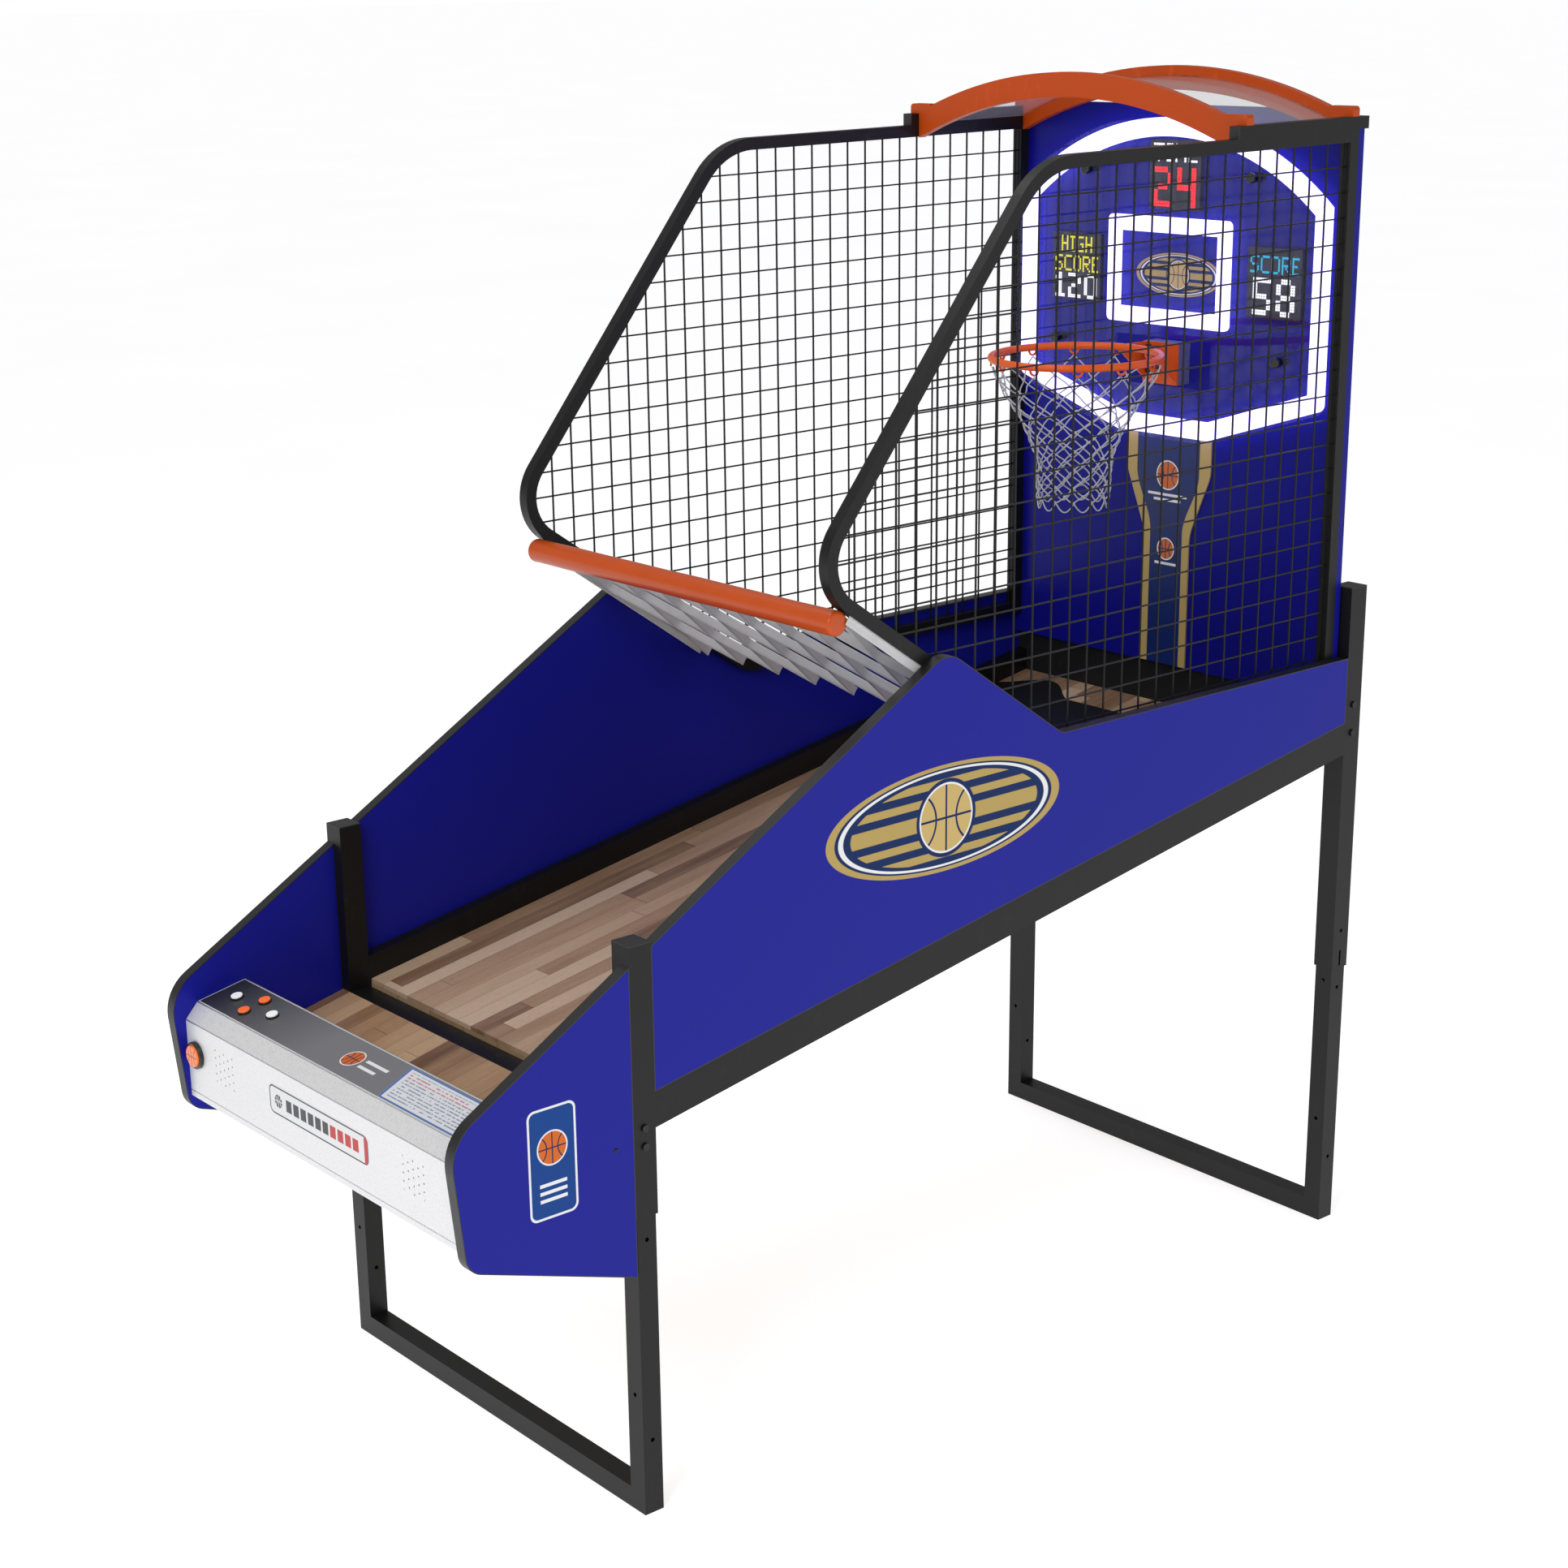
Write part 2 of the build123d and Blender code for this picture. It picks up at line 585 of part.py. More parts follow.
# ---- roof --------------------------------------------------------------------------------
def roof():
    rail_front = cage_back + 28.6 - roof_rail_length
    rail_back = rail_front + roof_rail_length
    bore = cage_tube - 2 * cage_wall
    middle = (cage_inner_x + cage_outer_x) / 2
    profile = Rectangle(cage_tube, cage_tube) - Rectangle(bore, bore)
    rail = Plane(origin=(middle, rail_back, cage_top + cage_tube / 2), z_dir=(0, -1, 0)) * \
        extrude(profile, roof_rail_length)
    parts["roof_rails"] = [rail, mirrored(rail)]
    for y, outward in ((rail_front, -1), (rail_back, 1)):
        start = Plane(origin=(middle, y, cage_top + cage_tube / 2), z_dir=(0, outward, 0))
        cap = start * extrude(Rectangle(cage_tube, cage_tube), 2.0)
        cap += start * Pos(0, 0, -8) * extrude(Rectangle(bore - button_gap, bore - button_gap), 8)
        parts["tube_caps"] += [cap, mirrored(cap)]

    radius = (cage_outer_x ** 2 + arch_drop ** 2) / (2 * arch_drop)
    centre = cage_top + arch_rise - radius
    inside = cage_inner_x - side_gap
    low = cage_top - 60
    clip = Pos(0, (low + cage_top + arch_rise) / 2) * Rectangle(2 * inside, cage_top + arch_rise - low + 2)
    band = (Pos(0, centre) * Circle(radius) - Pos(0, centre) * Circle(radius - arch_depth)) & clip
    rail_top = cage_top + cage_tube
    for side in (-1, 1):
        tab = Pos(side * (cage_outer_x - arch_tab_length / 2), rail_top + arch_tab_height / 2) * \
            Rectangle(arch_tab_length, arch_tab_height)
        corner = tab.vertices().group_by(Axis.Y)[-1].sort_by(Axis.X)[-1 if side > 0 else 0]
        band += fillet(corner, arch_tab_radius)
    arch_front = rail_front + arch_setback
    rear_arch_back = panel_front - 1.4
    parts["front_arch"] = [front_slab(band, arch_front, arch_front + arch_thickness)]
    parts["rear_arch"] = [front_slab(band, rear_arch_back - arch_thickness, rear_arch_back)]

    outer = radius - roof_sheet_drop
    sheet = Pos(0, centre) * Circle(outer) - Pos(0, centre) * Circle(outer - roof_sheet_thickness)
    parts["roof_sheet"] = [front_slab(sheet & clip, arch_front + arch_thickness, rear_arch_back - arch_thickness)]


# ---- backboard ---------------------------------------------------------------------------
def board_outline(inset):
    """The backboard's outline in (x, z), moved in by the inset: a crowned top, a shallow V foot."""
    side = board_half_width
    points = [(-side, board_skirt), (-board_foot_half, board_foot), (board_foot_half, board_foot), (side, board_skirt),
              (side, board_shoulder)]
    lines = Polyline(*points) + ThreePointArc((side, board_shoulder), (0, board_crown), (-side, board_shoulder)) + \
        Line((-side, board_shoulder), (-side, board_skirt))
    face = make_face(lines)
    for x, z in ((-side, board_skirt), (side, board_skirt)):
        corner = min(face.vertices(), key=lambda v: (v.X - x) ** 2 + (v.Y - z) ** 2)
        face = fillet(corner, board_corner_radius)
    return shrink(face, inset) if inset else face


def frame_ring(half, bottom, top, band, radius):
    """A rounded rectangular ring in (x, z), symmetrical about x = 0."""
    outer = Pos(0, (bottom + top) / 2) * RectangleRounded(2 * half, top - bottom, radius)
    return outer - Pos(0, (bottom + top) / 2) * Rectangle(2 * (half - band), top - bottom - 2 * band)


def backboard():
    inside = cage_inner_x - side_gap
    lower = box(-cage_outer_x + 0.5, cage_outer_x - 0.5, panel_front, panel_front + back_panel_thickness,
                back_panel_bottom, cage_top)
    upper = box(-inside, inside, panel_front, panel_front + back_panel_thickness, cage_top, cage_top + back_panel_crown)
    parts["back_panel"] = [lower + upper]

    window_low, window_high = hoop_plate_bottom - window_margin, hoop_plate_top + 2 * window_margin
    window = Pos(0, (window_low + window_high) / 2) * Rectangle(2 * window_half_width, window_high - window_low)
    board = front_slab(board_outline(0) - window, board_front, board_back)
    standoffs = []
    for half, z in (standoff_upper, standoff_lower):
        for x in (-half, half):
            neck = standoff_radius / 2
            board -= cylinder_along((0, 1, 0), (x, board_front - 1, z), neck + bolt_clearance, board_thickness + 2)
            piece = cylinder_along((0, 1, 0), (x, board_back, z), standoff_radius, board_stand)
            piece += cylinder_along((0, 1, 0), (x, board_front, z), neck, board_thickness)
            cap = cylinder_along((0, -1, 0), (x, board_front, z), standoff_cap_radius, standoff_cap_height)
            piece += fillet(cap.edges().group_by(Axis.Y)[0], 3.0)
            standoffs.append(piece)
    parts["backboard"] = [board]
    parts["backboard_standoffs"] = standoffs

    light_y = board_back + 0.3
    ring = board_outline(light_inset) - board_outline(light_inset + light_width)
    parts["border_light"] = [front_slab(ring, light_y, light_y + light_depth)]
    target = frame_ring(target_half_width, target_bottom, target_top, target_band, target_radius)
    parts["target_light"] = [front_slab(target, light_y, light_y + light_depth)]
    for name, x, z in (("high_score_display", -display_x, display_z), ("time_display", 0.0, time_display_z),
                       ("score_display", display_x, display_z)):
        parts[name] = [box(x - display_width / 2, x + display_width / 2, panel_front - display_depth, panel_front,
                           z - display_height / 2, z + display_height / 2)]

    half = [(pillar_narrow, pillar_bottom), (pillar_narrow, pillar_waist), (pillar_wide, pillar_shoulder),
            (pillar_wide, pillar_top)]
    points = half + [(-x, z) for x, z in reversed(half)]
    outline = rounded(points, [0, 120, 90, 0, 0, 90, 120, 0])
    parts["pillar_board"] = [front_slab(outline, panel_front - pillar_thickness, panel_front)]


# ---- hoop --------------------------------------------------------------------------------
def hoop():
    ring = Pos(0, hoop_y, hoop_height) * Torus(hoop_radius, hoop_rod / 2)
    hook_drop = hoop_height - hoop_rod / 2
    eyes = []
    for i in range(hook_count):
        angle = radians(360 / hook_count * (i + 0.5))
        out, near = (cos(angle), sin(angle), 0), hoop_radius - hook_rod / 2
        start = (out[0] * near, hoop_y + out[1] * near, hook_drop)
        eye = cylinder_along(out, start, hook_radius, hook_rod)
        eyes.append(eye - cylinder_along(out, start, hook_radius - hook_rod, hook_rod))
    plate_back = board_front
    plate_front = plate_back - hoop_plate_thickness
    welded = [box(-hoop_plate_half, hoop_plate_half, plate_front, plate_back, hoop_plate_bottom, hoop_plate_top)]
    arm_start = hoop_y + sqrt(hoop_radius ** 2 - hoop_arm_spread ** 2)
    for x in (-hoop_arm_spread, hoop_arm_spread):
        web = make_face(Polyline((arm_start, hoop_height + 4), (plate_front + 1, hoop_plate_top - 1),
                                 (plate_front + 1, hoop_plate_bottom + 6), (arm_start, hoop_height - 4), close=True))
        welded.append(side_slab(web, x - hoop_arm_wall / 2, x + hoop_arm_wall / 2))
    bracket = welded[0].fuse(*welded[1:])
    block = box(-hoop_plate_half, hoop_plate_half, plate_back, panel_front, hoop_plate_bottom, hoop_plate_top)
    block -= box(-hoop_plate_half + 4, hoop_plate_half - 4, plate_back + 5, panel_front,
                 hoop_plate_bottom + 4, hoop_plate_top - 4)
    bolts = []
    middle = (hoop_plate_top + hoop_plate_bottom) / 2 + 8
    for x in (-hoop_bolt_x, hoop_bolt_x):
        for z in (middle - hoop_bolt_rise, middle + hoop_bolt_rise):
            bore = cylinder_along((0, 1, 0), (x, plate_front - 1, z), hoop_bolt_radius + bolt_clearance, 12)
            bracket -= bore
            block -= bore
            bolt = cylinder_along((0, 1, 0), (x, plate_front, z), hoop_bolt_radius, hoop_plate_thickness + 8)
            head = Plane(origin=(x, plate_front, z), z_dir=(0, -1, 0)) * extrude(RegularPolygon(7.0, 6), 5.0)
            bolts.append(bolt + head)
    parts["hoop_rim"] = [ring]
    parts["hoop_bracket"] = [bracket] + eyes
    parts["hoop_mount"] = [block]
    parts["hoop_bolts"] = bolts
    parts["ball_sensor"] = [box(-18, 18, plate_front - 24, plate_front - 0.2, hoop_height - 52, hoop_height - 4)]

    top = hoop_height - hoop_rod / 2 - 13
    foot = hoop_height - net_length
    waist = hoop_height - net_waist
    outer = [(hoop_radius - 2, top), (net_waist_radius, waist), (net_foot_radius, foot)]
    inner = [(x - net_wall, z) for x, z in reversed(outer)]
    profile = Plane.XZ * make_face(Polyline(*outer, *inner, close=True))
    parts["hoop_net"] = [Pos(0, hoop_y, 0) * revolve(profile, Axis.Z)]


# ---- deflector ---------------------------------------------------------------------------
def deflector():
    fall, hang = radians(fall_angle), pad_radius + pad_under
    pad_y = cage_nose_y + pad_from_nose * cos(fall) - hang * sin(fall)
    pad_z = cage_nose_z - pad_from_nose * sin(fall) - hang * cos(fall)
    pad_x = cage_inner_x + pad_overlap
    core_x, root = pad_x - pad_end_cover, bar_radius - 1
    core = cylinder_along((1, 0, 0), (-core_x, pad_y, pad_z), bar_radius, 2 * core_x)
    core -= cylinder_along((1, 0, 0), (-core_x - 1, pad_y, pad_z), bar_radius - bar_wall, 2 * core_x + 2)
    pad = cylinder_along((1, 0, 0), (-pad_x, pad_y, pad_z), pad_radius, 2 * pad_x)
    pad = fillet(pad.edges().filter_by(GeomType.CIRCLE), 8.0)
    pad -= cylinder_along((1, 0, 0), (-core_x - pad_gap, pad_y, pad_z), bar_radius + pad_gap, 2 * (core_x + pad_gap))
    for side in (-1, 1):
        start = (side * (cage_inner_x + stud_inset), pad_y + root * sin(fall), pad_z + root * cos(fall))
        core += cylinder_along((0, sin(fall), cos(fall)), start, stud_radius, hang - root - 0.05)
        pad -= cylinder_along((0, sin(fall), cos(fall)), start, stud_radius + pad_gap, hang)
    parts["deflector_tube"] = [core]
    parts["deflector_pad"] = [pad]

    def under_cage(y, depth):
        return cage_nose_z - fall_slope * (y - cage_nose_y) - depth / cos(fall)

    y0, y1 = pad_y + pad_radius + pad_gap, sheet_net_back
    face = make_face(Polyline((y0, under_cage(y0, 0.3)), (y1, under_cage(y1, 0.3)),
                              (y1, under_cage(y1, sheet_net_depth)), (y0, under_cage(y0, sheet_net_depth)), close=True))
    parts["deflector_net"] = [side_slab(face, -panel_x + 2, panel_x - 2)]


frame()
leg_frames()
ramp()
sides()
console()
cage()
roof()
backboard()
hoop()
deflector()

os.makedirs("parts", exist_ok=True)
for node, solids in parts.items():
    shape = solids[0] if len(solids) == 1 else Compound(children=list(solids))
    export_step(shape, os.path.join("parts", node + ".step"))
print(len(parts), "nodes")
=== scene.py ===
"""The looks of the basketball hoop machine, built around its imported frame.

Everything is in metres in the part's own frame: +X to the player's right, +Y from the player
towards the backboard, +Z up, with the origin under the middle of the front floor bar.
"""

import logging
import math
from dataclasses import dataclass
from enum import Enum
from typing import Callable, Iterable, Sequence

import bpy
import numpy as np
from mathutils import Matrix, Vector

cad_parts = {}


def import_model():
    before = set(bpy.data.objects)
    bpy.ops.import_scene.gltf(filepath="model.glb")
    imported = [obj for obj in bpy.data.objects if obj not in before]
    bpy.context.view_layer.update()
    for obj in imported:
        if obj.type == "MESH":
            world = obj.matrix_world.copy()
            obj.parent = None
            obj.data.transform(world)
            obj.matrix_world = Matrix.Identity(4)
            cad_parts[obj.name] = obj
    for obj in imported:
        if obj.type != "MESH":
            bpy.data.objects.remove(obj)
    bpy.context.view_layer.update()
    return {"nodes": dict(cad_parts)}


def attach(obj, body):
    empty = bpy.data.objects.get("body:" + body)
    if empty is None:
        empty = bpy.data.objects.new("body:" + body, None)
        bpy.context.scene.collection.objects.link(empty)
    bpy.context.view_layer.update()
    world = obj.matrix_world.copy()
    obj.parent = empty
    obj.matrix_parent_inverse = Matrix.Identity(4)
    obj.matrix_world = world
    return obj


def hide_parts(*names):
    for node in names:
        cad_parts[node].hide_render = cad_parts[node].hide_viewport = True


log = logging.getLogger("hoop_machine")

Colour = tuple[float, float, float]
Point = tuple[float, float, float]


def linear(red: int, green: int, blue: int) -> Colour:
    """A display colour from 0 to 255 as linear light, by the usual 2.4 power curve with its straight foot."""
    share = np.array([red, green, blue]) / 255.0
    light = np.where(share <= 0.04045, share / 12.92, ((share + 0.055) / 1.055) ** 2.4)
    return tuple(float(v) for v in light)


BALL_ORANGE = linear(214, 108, 40)
PLATE_CENTRE, PLATE_HALF, PLATE_CORNER = (0.013, 0.762), (0.177, 0.030), 0.014


# ---- shader maths ------------------------------------------------------------------------


class Sock:
    """A shader value that Python's operators work on; each operation adds one Math node."""

    def __init__(self, net: "Net", link: bpy.types.NodeSocket) -> None:
        """Wraps one output socket of the net."""
        self.net, self.link = net, link

    def _math(self, operation: str, *values: "Sock | float", clamp: bool = False) -> "Sock":
        """One Math node over these values."""
        made = self.net.node("ShaderNodeMath", {"operation": operation, "use_clamp": clamp}, *values)
        return Sock(self.net, made.outputs[0])

    def __add__(self, other: "Sock | float") -> "Sock":
        """self + other."""
        return self._math("ADD", self, other)

    __radd__ = __add__

    def __sub__(self, other: "Sock | float") -> "Sock":
        """self - other."""
        return self._math("SUBTRACT", self, other)

    def __rsub__(self, other: "Sock | float") -> "Sock":
        """other - self."""
        return self._math("SUBTRACT", other, self)

    def __mul__(self, other: "Sock | float") -> "Sock":
        """self * other."""
        return self._math("MULTIPLY", self, other)

    __rmul__ = __mul__

    def __truediv__(self, other: "Sock | float") -> "Sock":
        """self / other."""
        return self._math("DIVIDE", self, other)

    def __pow__(self, other: "Sock | float") -> "Sock":
        """self to a power."""
        return self._math("POWER", self, other)

    def __neg__(self) -> "Sock":
        """-self."""
        return self._math("MULTIPLY", self, -1.0)

    def __abs__(self) -> "Sock":
        """The size of self."""
        return self._math("ABSOLUTE", self)

    def floor(self) -> "Sock":
        """The whole number at or under self."""
        return self._math("FLOOR", self)

    def fract(self) -> "Sock":
        """What is left of self above its floor."""
        return self._math("FRACT", self)

    def sin(self) -> "Sock":
        """The sine of self in radians."""
        return self._math("SINE", self)

    def sqrt(self) -> "Sock":
        """The square root of self."""
        return self._math("SQRT", self)

    def most(self, other: "Sock | float") -> "Sock":
        """The larger of the two."""
        return self._math("MAXIMUM", self, other)

    def above(self, edge: "Sock | float", soft: float = 0.0) -> "Sock":
        """1 where self is over the edge and 0 under it, over a ramp of that width."""
        if soft <= 0:
            return self._math("GREATER_THAN", self, edge)
        return self._math("DIVIDE", self - edge + soft / 2, soft, clamp=True)

    def below(self, edge: "Sock | float", soft: float = 0.0) -> "Sock":
        """1 where self is under the edge."""
        return 1.0 - self.above(edge, soft)

    def between(self, low: float, high: float, soft: float = 0.0) -> "Sock":
        """1 from low to high."""
        return self.above(low, soft) * self.below(high, soft)


Value = Sock | float | Colour


class Net:
    """One material's node tree, with the few nodes the finishes share."""

    def __init__(self, name: str) -> None:
        """Starts an empty tree with its output."""
        self.material = bpy.data.materials.new(f"{name}_finish")
        self.material.use_nodes = True
        self.tree = self.material.node_tree
        self.tree.nodes.clear()
        self.output = self.tree.nodes.new("ShaderNodeOutputMaterial")
        self._place: tuple[Sock, Sock, Sock] | None = None
        self._object: bpy.types.NodeSocket | None = None

    def node(self, kind: str, settings: dict | None = None, *values: Value, **named: Value) -> bpy.types.Node:
        """Adds a node.

        Args:
            kind: the node's type.
            settings: its properties, set before any socket.
            values: values or links for its input sockets, in order.
            named: values or links by the socket's name, with _ for a space.

        Returns:
            The new node.
        """
        made = self.tree.nodes.new(kind)
        for key, value in (settings or {}).items():
            setattr(made, key, value)
        pairs = list(zip(made.inputs, values)) + [(made.inputs[k.replace("_", " ")], v) for k, v in named.items()]
        for socket, value in pairs:
            if isinstance(value, Sock):
                self.tree.links.new(value.link, socket)
            elif isinstance(value, bpy.types.NodeSocket):
                self.tree.links.new(value, socket)
            elif value is not None:
                many = hasattr(socket.default_value, "__len__")
                if many and isinstance(value, tuple) and len(value) < len(socket.default_value):
                    value = (*value, 1.0)
                socket.default_value = value
        return made

    def place(self) -> tuple[Sock, Sock, Sock]:
        """The point's x, y and z in the part's frame."""
        if self._place is None:
            split = self.node("ShaderNodeSeparateXYZ", None, self.point())
            self._place = tuple(Sock(self, split.outputs[i]) for i in range(3))
        return self._place

    def point(self) -> bpy.types.NodeSocket:
        """The point in the part's frame as a vector."""
        if self._object is None:
            self._object = self.node("ShaderNodeTexCoord").outputs["Object"]
        return self._object

    def vector(self, x: Value, y: Value, z: Value) -> Sock:
        """Three values as a vector."""
        return Sock(self, self.node("ShaderNodeCombineXYZ", None, x, y, z).outputs[0])

    def noise(self, scale: float, detail: float = 3.0, stretch: Point = (1.0, 1.0, 1.0), where: Value = None,
              rough: float = 0.55) -> Sock:
        """Noise from 0 to 1 over the part's frame, finer along an axis with a larger stretch."""
        base = where if where is not None else self.point()
        scaled = self.node("ShaderNodeMapping", None, base, Scale=stretch).outputs[0]
        made = self.node("ShaderNodeTexNoise", None, Vector=scaled, Scale=scale, Detail=detail, Roughness=rough)
        return Sock(self, made.outputs["Fac"] if "Fac" in made.outputs else made.outputs[0])

    def cells(self, scale: float, where: Value = None) -> Sock:
        """The distance to the nearest of many scattered points."""
        base = where if where is not None else self.point()
        return Sock(self, self.node("ShaderNodeTexVoronoi", None, Vector=base, Scale=scale).outputs["Distance"])

    def chance(self, *seeds: Value) -> Sock:
        """An even random number from 0 to 1 for each combination of seeds."""
        seed = self.vector(*(list(seeds) + [0.0] * (3 - len(seeds))))
        return Sock(self, self.node("ShaderNodeTexWhiteNoise", None, seed).outputs["Value"])

    def mix(self, share: Value, first: Value, second: Value) -> Sock:
        """The first colour where share is 0, and the second where it is 1."""
        made = self.node("ShaderNodeMix", {"data_type": "RGBA", "clamp_factor": True})
        for name, value in (("Factor_Float", share), ("A_Color", first), ("B_Color", second)):
            socket = next(s for s in made.inputs if s.identifier == name)
            if isinstance(value, Sock):
                self.tree.links.new(value.link, socket)
            else:
                socket.default_value = (*value, 1.0) if isinstance(value, tuple) else value
        return Sock(self, next(s for s in made.outputs if s.identifier == "Result_Color"))

    def tint(self, colour: Colour, variation: Sock, amount: float) -> Sock:
        """The colour a little darker and lighter with the variation, which runs from 0 to 1."""
        dark = tuple(c * (1 - amount) for c in colour)
        light = tuple(min(1.0, c * (1 + amount)) for c in colour)
        return self.mix(variation, dark, light)

    def bump(self, height: Sock, depth: float, strength: float = 0.6) -> bpy.types.NodeSocket:
        """A normal tilted by a height map of that depth in metres."""
        return self.node("ShaderNodeBump", None, Height=height, Distance=depth, Strength=strength).outputs[0]

    def surface(self, **sockets: Value) -> bpy.types.Material:
        """A Principled surface with these sockets, joined to the output."""
        shader = self.node("ShaderNodeBsdfPrincipled", None, **sockets)
        self.tree.links.new(shader.outputs[0], self.output.inputs["Surface"])
        return self.material


# ---- finishes ----------------------------------------------------------------------------


@dataclass(frozen=True)
class PowderCoat:
    """Baked powder paint on steel: a fine pebbled skin with faint cloudy wear."""

    name: str
    colour: Colour
    rough: float = 0.42
    pebble: float = 900.0
    depth: float = 0.00006
    wear: float = 0.14

    def material(self) -> bpy.types.Material:
        """The finish as a material."""
        net = Net(self.name)
        cloud = net.noise(7.0, 4.0)
        fine = net.noise(self.pebble, 2.0)
        rub = net.noise(40.0, 6.0, (1.0, 1.0, 0.4)).above(0.66, 0.12)
        base = net.tint(self.colour, cloud * 0.7 + fine * 0.3, self.wear)
        lighter = tuple(min(1.0, c * 1.5 + 0.012) for c in self.colour)
        return net.surface(Base_Color=net.mix(rub * 0.35, base, lighter), Specular_IOR_Level=0.26,
                           Roughness=self.rough + (cloud - 0.5) * 0.12 + rub * 0.08,
                           Normal=net.bump(fine, self.depth, 0.5))


@dataclass(frozen=True)
class Moulded:
    """Moulded plastic: an even colour with a fine grain and, if glossy, a clear coat."""

    name: str
    colour: Colour
    rough: float = 0.5
    coat: float = 0.0
    grain: float = 1400.0
    depth: float = 0.00004
    glow: float = 0.0

    def material(self) -> bpy.types.Material:
        """The finish as a material."""
        net = Net(self.name)
        fine, cloud = net.noise(self.grain, 2.0), net.noise(16.0, 3.0)
        colour = net.tint(self.colour, cloud, 0.12)
        return net.surface(Base_Color=colour, Roughness=self.rough + (cloud - 0.5) * 0.1, Coat_Weight=self.coat,
                           Coat_Roughness=0.08, Emission_Color=colour, Emission_Strength=self.glow,
                           Normal=net.bump(fine, self.depth, 0.5))


@dataclass(frozen=True)
class PlatedSteel:
    """Zinc-plated or brushed metal with a faint spangle."""

    name: str
    colour: Colour
    rough: float = 0.32

    def material(self) -> bpy.types.Material:
        """The finish as a material."""
        net = Net(self.name)
        spangle, streak = net.cells(260.0), net.noise(300.0, 3.0, (1.0, 1.0, 8.0))
        return net.surface(Base_Color=net.tint(self.colour, spangle, 0.18), Metallic=1.0,
                           Roughness=self.rough + streak * 0.14, Normal=net.bump(streak, 0.00003, 0.4))


@dataclass(frozen=True)
class Laminate:
    """Printed laminate on a wood panel, with an optional emblem on the panel's outer faces."""

    name: str
    colour: Colour
    emblem: "Callable[[Net, Sock], Sock] | None" = None

    def material(self) -> bpy.types.Material:
        """The finish as a material."""
        net = Net(self.name)
        cloud, fine = net.noise(3.0, 3.0), net.noise(1100.0, 2.0)
        base = net.tint(self.colour, cloud * 0.8 + fine * 0.2, 0.07)
        if self.emblem:
            base = self.emblem(net, base)
        return net.surface(Base_Color=base, Roughness=0.36 + (cloud - 0.5) * 0.1, Specular_IOR_Level=0.14,
                           Normal=net.bump(fine, 0.00004, 0.4))


@dataclass(frozen=True)
class Stave:
    """Court wood: staves of their own length, colour and grain laid side by side along Y."""

    name: str
    width: float = 0.046
    length: float = 0.62
    tones: tuple[Colour, ...] = (linear(126, 94, 68), linear(164, 128, 98), linear(198, 164, 132),
                                 linear(226, 200, 172))
    paint: bool = False

    def material(self) -> bpy.types.Material:
        """The finish as a material."""
        net = Net(self.name)
        x, y, _ = net.place()
        row = (x / self.width).floor()
        shift = net.chance(row, 3.0) * 7.0
        along = y / (self.length * (0.7 + net.chance(row, 9.0) * 0.6)) + shift
        board = along.floor()
        tone = net.chance(row, board)
        dark, mid, light, pale = self.tones
        base = net.mix(tone.above(0.5, 0.5), net.mix(tone.above(0.2, 0.3), dark, mid),
                       net.mix(tone.above(0.8, 0.3), light, pale))
        grain_at = net.vector(x + tone * 3.0, y, net.chance(row, board, 4.0))
        fibre = net.noise(26.0, 8.0, (14.0, 0.7, 1.0), grain_at, 0.7)
        figure = net.noise(9.0, 3.0, (5.0, 0.5, 1.0), grain_at)
        pore = net.noise(90.0, 4.0, (12.0, 0.8, 1.0), grain_at).above(0.62, 0.12)
        base = net.mix(fibre * 0.42, base, tuple(c * 0.42 for c in mid))
        base = net.mix(figure.above(0.55, 0.4) * 0.22, base, pale)
        base = net.mix(pore * 0.3, base, tuple(c * 0.35 for c in dark))
        seam_x = abs((x / self.width).fract() - 0.5).above(0.488, 0.01)
        seam_y = abs(along.fract() - 0.5).above(0.4985, 0.0012)
        seam = seam_x.most(seam_y)
        base = net.mix(seam * 0.55, base, tuple(c * 0.25 for c in dark))
        if self.paint:
            lobe = (1.0 - ((x + 0.345) / 0.125) ** 2.0).most(0.0)
            court = y.below(1.864 + lobe * lobe * 0.067, 0.002) * y.above(1.50, 0.002)
            base = net.mix(court, base, (0.006, 0.006, 0.007))
        height = fibre * 0.3 - seam * 1.0 - pore * 0.2
        return net.surface(Base_Color=base, Roughness=0.34 + fibre * 0.16, Coat_Weight=0.25, Coat_Roughness=0.15,
                           Normal=net.bump(height, 0.00025, 0.5))


@dataclass(frozen=True)
class Clear:
    """A clear polished sheet."""

    name: str
    alpha: float
    mirror: float
    colour: Colour = (0.86, 0.9, 0.98)

    def material(self) -> bpy.types.Material:
        """The finish as a material."""
        net = Net(self.name)
        smear = net.noise(5.0, 4.0)
        return net.surface(Base_Color=net.tint(self.colour, smear, 0.04), Metallic=self.mirror,
                           Roughness=0.03 + smear * 0.04, Alpha=self.alpha + (smear - 0.5) * 0.02, IOR=1.49)


@dataclass(frozen=True)
class Lamp:
    """A lit diffuser, with the lamps behind just showing."""

    name: str
    colour: Colour
    strength: float
    pitch: float = 0.0

    def material(self) -> bpy.types.Material:
        """The finish as a material."""
        net = Net(self.name)
        x, _, z = net.place()
        ripple = net.noise(60.0, 2.0)
        if self.pitch:
            turn = math.tau / self.pitch
            ripple = ((x + z) * turn).sin() * ((x - z) * turn).sin() * 0.5 + 0.5
        unlit = tuple(c * 0.5 for c in self.colour)
        return net.surface(Base_Color=net.tint(unlit, ripple, 0.1), Roughness=0.3 + ripple * 0.1,
                           Emission_Color=net.tint(self.colour, ripple, 0.08), Emission_Strength=self.strength)


